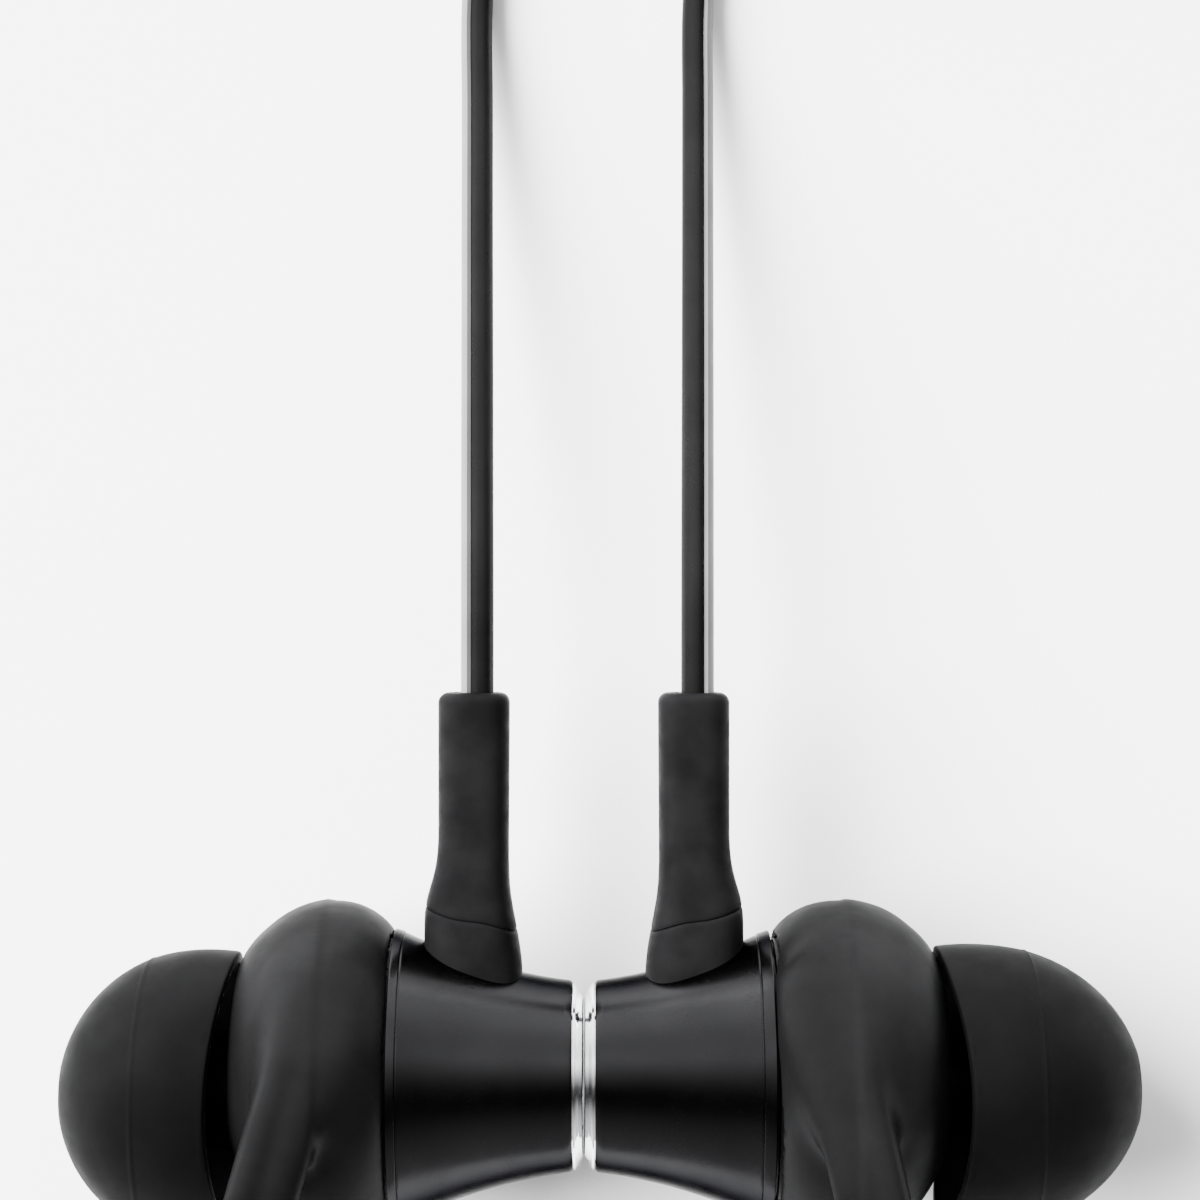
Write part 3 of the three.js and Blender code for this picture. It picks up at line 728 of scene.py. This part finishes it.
def fin_field(points, path, half):
    """A flat band with a raised rib along its outer edge and a rounded end."""
    offset, where = nearest_on_path(points, path)
    tangents = np.gradient(path, axis=0)
    places = np.linspace(0, 1, len(path))
    tangent = np.stack([np.interp(where, places, tangents[:, i]) for i in range(3)], axis=1)
    tangent /= np.linalg.norm(tangent, axis=1)[:, None]
    side = np.array([1.0, 0.0, 0.0]) - tangent * tangent[:, :1]
    side /= np.linalg.norm(side, axis=1)[:, None]
    top = np.cross(tangent, side)
    across, rise, past = ((offset * axis).sum(axis=1) for axis in (side, top, tangent))
    taper = 1 - FIN_TAPER * where
    wide = half * taper * (1 - FIN_END_TAPER * smoothstep((where - FIN_END) / (1 - FIN_END)))
    thick = FIN_THICK * taper
    band = (np.sqrt((across / wide) ** 2 + (rise / thick) ** 2 + (past / wide) ** 2) - 1) * thick
    rib = FIN_RIB_R * taper
    lift = FIN_RIB_RISE * smoothstep(where / 0.2)
    edge = np.sqrt((across - (wide - rib)) ** 2 + (rise - lift) ** 2 + past ** 2) - rib
    return blended(band, edge, FIN_RIB_FILLET)


def wing_field(bud):
    """The sleeve and its fin as one field, both ending flat against the housing's lip. Away from
    the cords the sleeve's front edge is drawn back a little, and a fine step runs round the sleeve
    where the mould parts."""
    rear = bud["lip_end"] + SLEEVE_GAP

    def stretched(points):
        longer = bud["sleeve_longer"]
        return [(u + longer * float(smoothstep((u - SLEEVE_START) / 5)), r) for u, r in points]

    outside = [tuple(p)[:2] for p in catmull([(u, r, 0) for u, r in SLEEVE_OUTSIDE], OUTLINE_STEP)]
    sleeve = [(max(u, rear), r) for u, r in stretched(outside + SLEEVE_INSIDE)]
    first, last = BORE
    far, near = SLEEVE_INSIDE[0][1], SLEEVE_INSIDE[-1][1]
    bore = [(first, 0.0), (last, 0.0), (last, far)] + stretched(SLEEVE_INSIDE) + [(first, near)]
    parting = stretched([(PARTING_U, 0)])[0][0]
    path = fin_path(bud)

    def field(points):
        radius = np.hypot(points[:, 1], points[:, 2])
        back = DRAWN_BACK * smoothstep((-points[:, 1] - 1) / 6) * smoothstep((points[:, 0] - 12) / 3)
        drawn = points[:, 0] + back * smoothstep((radius - 3) / 2)
        fin = fin_field(points, path, bud["fin_half"])
        shape = blended(outline_field(drawn, radius, sleeve), fin, FIN_ROOT_FILLET)
        past = np.tanh((points[:, 0] - parting) / PARTING_WIDTH)
        step = PARTING_STEP * past * smoothstep(radius - PARTING_INNER_R)
        hollow = -outline_field(points[:, 0], radius, bore)
        return np.maximum.reduce([shape - step, hollow, rear - points[:, 0]])

    return field


def field_slope(field, points, value):
    """The field's slope at each point, by small steps along the axes."""
    step = 0.01
    return np.stack([(field(points + step * axis) - value) / step for axis in np.eye(3)], axis=1)


def grid_skin(field, low, high, step):
    """Quads near the surface where the field is zero: one vertex in each cell of a grid that the
    surface passes through, and one quad across each grid edge that it crosses."""
    axes = [np.arange(a, b + step, step) for a, b in zip(low, high)]
    grid = np.stack(np.meshgrid(*axes, indexing="ij"), axis=-1)
    inside = field(grid.reshape(-1, 3)).reshape(grid.shape[:3]) < 0
    corners = np.zeros([n - 1 for n in inside.shape], int)
    for i, j, k in np.ndindex(2, 2, 2):
        corners += inside[i:i + corners.shape[0], j:j + corners.shape[1], k:k + corners.shape[2]]
    mixed = (corners > 0) & (corners < 8)
    number = np.full(mixed.shape, -1)
    number[mixed] = np.arange(mixed.sum())
    points = np.array(low) + (np.argwhere(mixed) + 0.5) * step
    quads = []
    for axis in range(3):
        first, second = [(1, 2), (2, 0), (0, 1)][axis]
        last = inside.shape[axis] - 1
        ends = [np.take(inside, range(shift, last + shift), axis) for shift in (0, 1)]
        crossed = np.argwhere(ends[0] != ends[1])
        around = []
        for back_first, back_second in ((0, 0), (1, 0), (1, 1), (0, 1)):
            cell = crossed.copy()
            cell[:, first] -= back_first
            cell[:, second] -= back_second
            around.append(number[tuple(cell.T)])
        around = np.stack(around, axis=1)
        leaving = ends[0][tuple(crossed.T)]
        quads.append(np.where(leaving[:, None], around, around[:, ::-1]))
    return points, np.concatenate(quads)


def skinned(field, low, high, step):
    """An even quad skin on the surface where the field is zero."""
    points, quads = grid_skin(field, low, high, step)
    sides = np.concatenate([quads[:, [i, (i + 1) % 4]] for i in range(4)])
    edges = np.unique(np.sort(sides, axis=1), axis=0)
    ends = np.concatenate([edges, edges[:, ::-1]])
    share = np.bincount(ends[:, 0], minlength=len(points))[:, None]
    for turn in range(SKIN_ROUNDS):
        value = field(points)
        slope = field_slope(field, points, value)
        steepness = np.maximum(np.linalg.norm(slope, axis=1), LEAST_SLOPE)[:, None]
        normal = slope / steepness
        points = points - normal * np.clip(value[:, None] / steepness, -step, step)
        if turn < EVENING_ROUNDS:
            around = np.stack([
                np.bincount(ends[:, 0], weights=points[ends[:, 1], i], minlength=len(points))
                for i in range(3)
            ], axis=1) / share
            pull = around - points
            points = points + 0.5 * (pull - normal * (pull * normal).sum(axis=1)[:, None])
    return points, quads.tolist()


def add_ear_wing(side):
    points, quads = skinned(wing_field(BUDS[side]), WING_LOW, WING_HIGH, SKIN_STEP)
    bud_piece(side, "wing_sleeve", points, quads, "wing_silicone", "ear_wing", "wing", sharp=50)
# ---- Where the cord leaves the bud ----
# Half widths of the boot and its collar by the distance from the bud's axis: towards the ear tip,
# towards the other bud, and up.
BOOT_SHAPE = [
    (3.6, 2.2, 2.2, 2.2), (4.4, 2.2, 2.2, 2.18), (5.4, 2.25, 2.16, 2.12), (6.2, 2.25, 2.02, 2.05),
    (7.0, 2.25, 1.88, 1.98), (7.6, 2.24, 1.76, 1.93), (8.3, 2.1, 1.64, 1.84), (9.3, 1.76, 1.58, 1.7),
    (10.5, 1.62, 1.58, 1.62), (17.4, 1.62, 1.62, 1.6),
]
BOOT_BORE_R = 0.92
BOOT_SIDES = 64
BOOT_EDGE = 0.45
BOOT_ROWS = 34
COLLAR_ROWS = 14
COLLAR_FOOT_Y = 4.6
SEAM_Y = 7.17
SEAM_TILT = 0.55
SEAM_GAP = 0.02
SEAM_REACH = 0.22
BOOT_SEAM = [(0.065, 0.0), (0.034, 0.02), (0.01, 0.07)]  # how deep, and how far from the seam
SQUARENESS = 3.2


def boot_half(y, column):
    """The boot's half width at y, smoothed over the points of its shape."""
    places = [row[0] for row in BOOT_SHAPE]
    widths = [row[column] for row in BOOT_SHAPE]
    return float(np.mean([np.interp(y + d, places, widths) for d in np.linspace(-0.6, 0.6, 9)]))


def boot_section(angle, y, inset=0.0):
    """A point of the boot's rounded-rectangle section, as (u, z) from the cord's line."""
    c, s = math.cos(angle), math.sin(angle)
    wide = boot_half(y, 1 if c > 0 else 2) - inset
    high = boot_half(y, 3) - inset
    power = 2 / SQUARENESS
    return wide * math.copysign(abs(c) ** power, c), high * math.copysign(abs(s) ** power, s)


def seam_y(angle):
    """Where the boot meets its collar: further out on the ear tip's side."""
    return SEAM_Y + SEAM_TILT * math.cos(angle)


def horn_y(u, z):
    """The shell's surface on the cord's side, above the point (u, z) of its axis plane."""
    return math.sqrt(max(0.0, horn_radius(u) ** 2 - z * z))


def round_row(section, height):
    """One row round the cord's line, whose height is a function of the angle."""
    row = []
    for k in range(BOOT_SIDES):
        angle = 2 * math.pi * k / BOOT_SIDES
        y = height(angle)
        du, dz = section(angle, y)
        row.append((BOOT_U + du, y, dz))
    return row


def boot_row(height, inset=0.0):
    return round_row(lambda a, y: boot_section(a, y, inset), height)


def rows_between(low, high, count, first=0):
    """Boot rows that go evenly from one height to another, both functions of the angle."""
    shares = [i / count for i in range(first, count + 1)]
    return [boot_row(lambda a, t=t: low(a) * (1 - t) + high(a) * t) for t in shares]


def bore_point(angle):
    return BOOT_BORE_R * math.cos(angle), BOOT_BORE_R * math.sin(angle)


def bore_row(height):
    return round_row(lambda a, y: bore_point(a), height)


def add_boot(side):
    rows = [bore_row(lambda a: seam_y(a) + SEAM_GAP)]
    for inset, rise in BOOT_SEAM + [(0.0, 0.2)]:
        rows.append(boot_row(lambda a, rise=rise: seam_y(a) + SEAM_GAP + rise, inset))
    top = BOOT_TOP - BOOT_EDGE
    rows += rows_between(lambda a: seam_y(a) + SEAM_GAP + SEAM_REACH, lambda a: top, BOOT_ROWS, 1)
    for inset, rise in edge_curve(BOOT_EDGE):
        rows.append(boot_row(lambda a, y=top + rise: y, inset))
    rows.append(bore_row(lambda a: BOOT_TOP))
    bud_piece(side, "boot", *loft(rows, wrap=True), "boot_rubber", "cord_boot", sharp=40)


def above_shell(du, dz):
    """Just clear of the shell's surface at an offset from the cord's line."""
    return horn_y(BOOT_U + du, dz) + SEAM_GAP


def collar_foot(angle):
    return above_shell(*boot_section(angle, COLLAR_FOOT_Y))


def add_collar(side):
    """The boot's lower part, moulded to the shell's surface."""
    rows = [bore_row(lambda a: above_shell(*bore_point(a)))]
    rows += rows_between(collar_foot, lambda a: seam_y(a) - SEAM_REACH, COLLAR_ROWS)
    for inset, rise in reversed(BOOT_SEAM):
        rows.append(boot_row(lambda a, rise=rise: seam_y(a) - rise, inset))
    rows.append(bore_row(seam_y))
    bud_piece(side, "collar", *loft(rows, wrap=True), "boot_rubber", "cord_collar", sharp=40)


# ---- The cords ----
def coil_point(radius, degrees, z):
    angle = math.radians(degrees)
    return (COIL[0] + radius * math.cos(angle), COIL[1] + radius * math.sin(angle), z)


def winding(levels, start, end, step=12.0, change=50.0):
    """Turns about the coil's centre. Each level is one turn's (radius, height); the cord moves
    to the next level over the last degrees of its turn."""
    points = []
    count = int(round((end - start) / step))
    for i in range(count + 1):
        degrees = start + (end - start) * i / count
        turn = (degrees - start) / 360
        index = min(int(turn), len(levels) - 1)
        later = min(index + 1, len(levels) - 1)
        mix = float(smoothstep(((turn - index) * 360 - (360 - change)) / change))
        radius, height = (a * (1 - mix) + b * mix for a, b in zip(levels[index], levels[later]))
        points.append((radius, degrees, height))
    return points


STRIP_SHARE = 0.32  # of the cord's width, light
CREASE_DEPTH = 0.3  # of the cord's half height
CREASE_WIDTH = 0.12  # of its half width
CORD_SIDES = 24
CORD_STEP = 0.8
BRANCH_H = 1.4


def cord_section(width, height, strip_side):
    """Points (across, up) round the cord, with a crease where the strip meets the black part."""
    crease = strip_side * (1 - 2 * STRIP_SHARE)
    section = []
    for k in range(CORD_SIDES):
        angle = 2 * math.pi * (k + 0.5) / CORD_SIDES
        across = math.cos(angle)
        pinch = 1 - CREASE_DEPTH * math.exp(-((across - crease) / CREASE_WIDTH) ** 2)
        section.append((width / 2 * across, height / 2 * math.sin(angle) * pinch))
    return section


def cord_mesh(name, path, width, height, strip_side):
    """A cord swept along its path: black, with a light strip along one edge (-1 left, 1 right)."""
    rows = swept(path, cord_section(width, height, strip_side), Vector((0, 0, 1)))
    piece = finish_mesh(name, *loft(rows), "cord_rubber", None, sharp=60)
    piece.data.materials.append(LOOKS["cord_strip"])
    for polygon in piece.data.polygons:
        columns = sorted({i % CORD_SIDES for i in polygon.vertices})
        if len(columns) == 2:
            middle = sum(columns) / 2 + 0.5 if columns[1] - columns[0] == 1 else 0.0
            edge = strip_side * math.cos(2 * math.pi * middle / CORD_SIDES)
            polygon.material_index = int(edge > 1 - 2 * STRIP_SHARE)
    return piece


# Each branch leaves its boot straight, sags to the floor and runs to the stored coil.
LEFT_X, RIGHT_X = CORD_X["left"], CORD_X["right"]
LEFT_LEAD = [
    (LEFT_X, CORD_START_Y, AXIS_Z), (LEFT_X - 0.01, 21, 7.7), (LEFT_X - 0.06, 26, 6.6),
    (LEFT_X - 0.13, 32, 4.9), (LEFT_X - 0.21, 38, 3.1), (LEFT_X - 0.27, 44, 1.6),
    (LEFT_X - 0.31, 49, 0.85), (-5.5, 52.8, 0.76), (-4.1, 55.0, 0.76), (-2.2, 56.15, 0.76),
]
RIGHT_LEAD = [
    (RIGHT_X, CORD_START_Y, AXIS_Z), (RIGHT_X + 0.01, 21, 7.7), (RIGHT_X + 0.05, 26, 6.6),
    (RIGHT_X + 0.11, 32, 4.9), (RIGHT_X + 0.17, 38, 3.1), (RIGHT_X + 0.22, 44, 1.6),
    (RIGHT_X + 0.26, 49, 0.85), (5.1, 52.2, 0.76), (7.2, 55.4, 0.8), (10.4, 58.4, 0.9),
    (14.0, 61.6, 1.2),
]
# From the coil the branches run down into the splitter.
LEFT_EXIT = [(10.6, 95.2, 4.9), (8.4, 98.0, 3.9), (5.6, 99.7, 2.7), (2.3, 100.15, SPLITTER_CORD_Z)]
RIGHT_EXIT = [
    (18.9, 86.3, 4.2), (17.6, 91.0, 3.6), (14.4, 96.2, 2.9), (9.8, 100.0, 2.4), (5.6, 101.6, 2.2),
    (2.3, 101.85, SPLITTER_CORD_Z),
]
# The main cord turns back from the splitter and climbs onto the coil over the branches' turns.
MAIN_LEAD = [
    (-16.3, 101, SPLITTER_CORD_Z), (-20.2, 100.1, 1.7), (-23.3, 97.2, 1.3), (-24.5, 93.0, 1.3),
    (-24.2, 88.0, 2.4), (-22.9, 83.6, 4.6), (-21.2, 80.4, 6.6), (-19.3, 77.6, 7.1),
]
# Its other end comes over the coil from the middle and runs down to the plug.
MAIN_EXIT = [
    (10.6, 77.4, 8.15), (13.0, 81.6, 8.2), (15.4, 85.6, 7.7), (17.5, 89.4, 6.9), (19.8, 94.0, 5.0),
    (21.3, 99.0, 2.7), (21.3, 104.2, 1.4), (19.6, 108.6, 1.6), (17.0, 110.9, 2.4),
    (14.3, 111.5, PLUG["z"]),
]


def layer(number, width):
    """Height of the middle of a layer of turns."""
    return COIL_LIFT + width * (number + 0.5)


def inside_boot(side):
    return [(CORD_X[side], AXIS_Y + BOOT_TOP - 0.5, AXIS_Z)]


def left_route():
    entry = [(0.4, 57.7, 0.8), (2.5, 59.3, 1.15)]
    turns = winding([(17.2, layer(k, BRANCH_W)) for k in range(3)], -72, 750)
    inside = [(1.4, 100.15, SPLITTER_CORD_Z)]
    coil = entry + [coil_point(*p) for p in turns] + [(12.5, 90.8, 5.05)]
    return inside_boot("left") + LEFT_LEAD + coil + LEFT_EXIT + inside


def right_route():
    turns = []
    for radius, degrees, height in winding([(19, layer(k, BRANCH_W)) for k in range(3)], -28, 725):
        # the turns ride over the left branch where it comes in under them
        away = (degrees + 85) % 360
        away = min(away, 360 - away)
        turns.append(coil_point(radius, degrees, height + 0.75 * math.exp(-(away / 17) ** 2)))
    inside = [(1.4, 101.85, SPLITTER_CORD_Z)]
    coil = [coil_point(19.4, -38, 1.45)] + turns + [(19.1, 82.6, 4.5)]
    return inside_boot("right") + RIGHT_LEAD + coil + RIGHT_EXIT + inside


def main_route():
    columns = [(15, (2, 1, 0)), (13, (0, 1, 2)), (11, (2, 1, 0)), (9, (0, 1, 2))]
    levels = [(radius, layer(k, MAIN_W)) for radius, order in columns for k in order]
    turns = winding(levels, 222, 222 + 360 * 11 + 70)
    inside = [(-15.2, 101, SPLITTER_CORD_Z)]
    entry = [(-17.6, 75.0, 7.2), (-16.0, 72.4, 7.0), (-14.3, 69.9, 6.4)]
    leave = [coil_point(9, -48, 6.4), coil_point(9.2, -27, 7.4)]
    plugged = [(13.0, PLUG["y"], PLUG["z"])]
    return inside + MAIN_LEAD + entry + [coil_point(*p) for p in turns] + leave + MAIN_EXIT + plugged


# Each cord's route, section, real length in metres, what it ends in, and the pieces on it.
CORDS = {
    "left_branch": {
        "route": left_route, "wide": BRANCH_W, "high": BRANCH_H, "strip_side": -1,
        "length": 0.325, "far_end": "object",
        "pieces": ["splitter_lower", "splitter_upper", "splitter_board", "ribbed_splitter_relief"],
    },
    "right_branch": {
        "route": right_route, "wide": BRANCH_W, "high": BRANCH_H, "strip_side": 1,
        "length": 0.325, "far_end": "object", "pieces": [],
    },
    "main_cord": {
        "route": main_route, "wide": MAIN_W, "high": MAIN_W, "strip_side": 1,
        "length": 0.95, "far_end": "plug",
        "pieces": ["ribbed_plug_relief", "plug_grip", "plug_sleeve", "plug_ring", "plug_tip",
                   "plug_insulator_1", "plug_insulator_2", "strap_loop", "strap_lap", "strap_bar_1",
                   "strap_bar_2", "strap_bar_3"],
    },
}


def add_cords():
    """The two branches and the main cord, each in one piece from end to end. The right branch is
    left on no body, with its placement baked into its mesh, and the rest stays with the left bud."""
    made = {}
    for name, cord in CORDS.items():
        path = catmull(cord["route"](), CORD_STEP)
        piece = cord_mesh(name, path, cord["wide"], cord["high"], cord["strip_side"])
        first = name.split("_")[0]
        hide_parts(f"{first}_cord_lead", f"{first}_coil", f"{first}_cord_exit")
        made[name] = (piece, path)
    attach(made["left_branch"][0], "left_bud")
    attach(made["main_cord"][0], "left_bud")
    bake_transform(made["right_branch"][0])
    return made


# ---- The tie round the coil ----
def strap_piece(name, path, wide, thick, nodes=(), wrap=False):
    """A flat strap across X that follows a path of (y, z) points with their normals."""
    section = rounded([(-wide / 2, -thick / 2, 0.12), (wide / 2, -thick / 2, 0.12),
                       (wide / 2, thick / 2, 0.12), (-wide / 2, thick / 2, 0.12)], 3)
    rows = []
    for (y, z), (ny, nz) in path:
        rows.append([(COIL[0] + a, COIL[1] + y + ny * b, z + nz * b) for a, b in section])
    finish_mesh(name, *loft(rows, wrap), "boot_rubber", "left_bud", nodes)


def add_tie():
    """A soft strap closed round the turns, with its end lapped over the top and three grip bars."""
    thick = TIE["thick"]
    middle = thick / 2
    near, far, roof = TIE["from"] - middle, TIE["to"] + middle, TIE["roof"] + middle
    loop = rounded([(near, middle, 0.8), (far, middle, 0.8), (far, roof, 0.8), (near, roof, 0.8)], 6)
    path = []
    for i, point in enumerate(loop):
        along = (loop[(i + 1) % len(loop)] - loop[i - 1]).normalized()
        path.append((point, (along.y, -along.x)))
    strap_piece("strap_loop", path, TIE["wide"], thick, ["cord_tie"], True)
    top = TIE["roof"] + thick
    lap = [((y, top + 0.2), (0, 1)) for y in np.linspace(9.2, 17.6, 12)]
    strap_piece("strap_lap", lap, TIE["wide"] - 0.5, 0.42)
    for number in range(3):
        y = 10.2 + 0.9 * number
        bar = [((y + d, top + 0.42), (0, 1)) for d in (-0.2, -0.12, 0.12, 0.2)]
        strap_piece(f"strap_bar_{number + 1}", bar, TIE["wide"] - 1.6, 0.3)


# ---- The splitter ----
def slab_row(inset, z):
    """A rounded rectangle at height z, drawn in by the inset from the splitter's outline."""
    long, wide = SPLITTER["from"] - SPLITTER["to"], SPLITTER["wide"]
    x, y = long / 2 - inset, wide / 2 - inset
    corner = max(0.15, 1.6 - inset)
    middle = (SPLITTER["from"] + SPLITTER["to"]) / 2
    row = []
    for cx, cy, first in ((1, 1, 0), (-1, 1, 90), (-1, -1, 180), (1, -1, 270)):
        for i in range(9):
            angle = math.radians(first + 90 * i / 8)
            row.append((middle + cx * (x - corner) + corner * math.cos(angle),
                        SPLITTER["y"] + cy * (y - corner) + corner * math.sin(angle), z))
    return row


def splitter_half(z_of, edge, panel):
    """A hollow half shell from its cavity, over its rim and round its outer edge to its face. z_of
    turns a height above the parting plane into the object's."""
    half = SPLITTER["high"] / 2
    rows = [(1.0, half - 0.9), (1.0, 0.05), (0.12, 0.05), (0.03, 0.09), (0.0, 0.2), (0.0, half - edge)]
    rows += [(inset, half - edge + rise) for inset, rise in edge_curve(edge)]
    if panel:
        rows += [(1.25, half), (1.32, half - 0.03), (1.4, half - 0.12), (1.55, half - 0.14)]
    return loft([slab_row(inset, z_of(height)) for inset, height in rows])


def cord_sleeve(name, start, y, z, points, look, nodes, closed_outline=True, segments=72):
    """A piece turned about a line along -X."""
    vertices, faces = lathe(points, segments, closed_outline)
    placed = [(start - along, y + side, z + rise) for along, side, rise in vertices]
    return finish_mesh(name, placed, faces, look, "left_bud", nodes)


def relief_outline(length, start_r, end_r, bore, ribs):
    """A tapered strain relief with slots between its ribs, open for the cord."""
    def radius(along):
        return start_r + (end_r - start_r) * along / length

    points = [(0, bore), (0, start_r - 0.12, 0.1), (0.12, radius(0.12))]
    pitch = (length - 1.4) / ribs
    for i in range(ribs):
        slot = 0.7 + pitch * i + pitch * 0.55
        deep = 0.3
        points += [(slot, radius(slot), 0.06), (slot + 0.05, radius(slot) - deep, 0.06),
                   (slot + 0.35, radius(slot) - deep, 0.06), (slot + 0.4, radius(slot + 0.4), 0.06)]
    points += [(length, end_r, 0.08), (length, bore)]
    return rounded(points, 3)


def add_splitter():
    half = SPLITTER["high"] / 2
    finish_mesh("splitter_lower", *splitter_half(lambda h: half - h, 0.6, False), "black_plastic",
                "left_bud", ["splitter_base"])
    finish_mesh("splitter_upper", *splitter_half(lambda h: half + h, 1.0, True), "black_plastic",
                "left_bud", ["splitter_cover"])
    cord_sleeve("ribbed_splitter_relief", SPLITTER["to"] - 0.05, SPLITTER["y"], SPLITTER_CORD_Z,
                relief_outline(SPLITTER["relief"] - 0.05, 1.9, 1.4, 1.03, 3), "boot_rubber",
                ["splitter_relief"])


# ---- The 3.5 mm stereo plug ----
JACK_R = 1.75
INSULATOR = [(0, 0), (0, 1.68, 0.04), (0.5, 1.68, 0.04), (0.5, 0)]
# Each part of the jack: how far it starts from the sleeve's flange, and its outline.
JACK = {
    "sleeve": (0, [(0, 0), (0, 2.3, 0.08), (0.5, 2.3, 0.08), (0.5, JACK_R), (6.15, JACK_R, 0.05), (6.2, 0)]),
    "insulator_1": (6.3, INSULATOR),
    "ring": (6.9, [(0, 0), (0, JACK_R, 0.05), (1.8, JACK_R, 0.05), (1.8, 0)]),
    "insulator_2": (8.8, INSULATOR),
    "tip": (9.4, [(0, 0), (0, JACK_R, 0.05), (0.7, 1.72, 0.4), (1.6, 1.28, 0.3), (2.4, 1.3, 0.3),
                  (3.1, JACK_R, 0.25), (4.8, 0.7, 0.5), (5.0, 0)]),
}
def add_plug():
    y, z = PLUG["y"], PLUG["z"]
    cord_sleeve("ribbed_plug_relief", PLUG["relief"], y, z, relief_outline(7.55, 1.5, 2.2, 1.03, 6),
                "boot_rubber", ["plug_relief"])
    grooves = []
    for i in range(6):
        groove = 1.9 + 0.75 * i
        grooves += [(groove, 2.7), (groove + 0.08, 2.58), (groove + 0.26, 2.58), (groove + 0.34, 2.7)]
    body = rounded([(0, 0), (0, 2.35, 0.1), (0.7, 2.7, 0.5), *grooves, (13.9, 2.7, 0.3),
                    (14.8, 2.45, 0.1), (14.8, 0)])
    cord_sleeve("plug_grip", PLUG["body"], y, z, body, "black_plastic", ["plug_body"], False, 96)
    for part, (start, points) in JACK.items():
        look = "black_plastic" if part.startswith("insulator") else "gold_contact"
        cord_sleeve(f"plug_{part}", PLUG["jack"] - start, y, z, rounded(points), look, [f"jack_{part}"],
                    False, 64)

# ---- Everything together ----
def add_inner_looks():
    """The CAD nodes that stay, inside the buds and the splitter, get their slots' materials."""
    slots = {part["node"]: part["material_slot"] for part in frame["record"]["subparts"]}
    for node, piece in frame["nodes"].items():
        piece.data.materials.clear()
        piece.data.materials.append(LOOKS[slots[node]])


add_camera()
for bud_side in BUDS:
    add_shell(bud_side)
    add_back(bud_side)
    add_nose(bud_side)
    add_nozzle_weave(bud_side)
    add_ear_tip(bud_side)
    add_ear_wing(bud_side)
    add_boot(bud_side)
    add_collar(bud_side)
cords = add_cords()
add_tie()
add_splitter()
add_plug()
add_inner_looks()
add_studio()
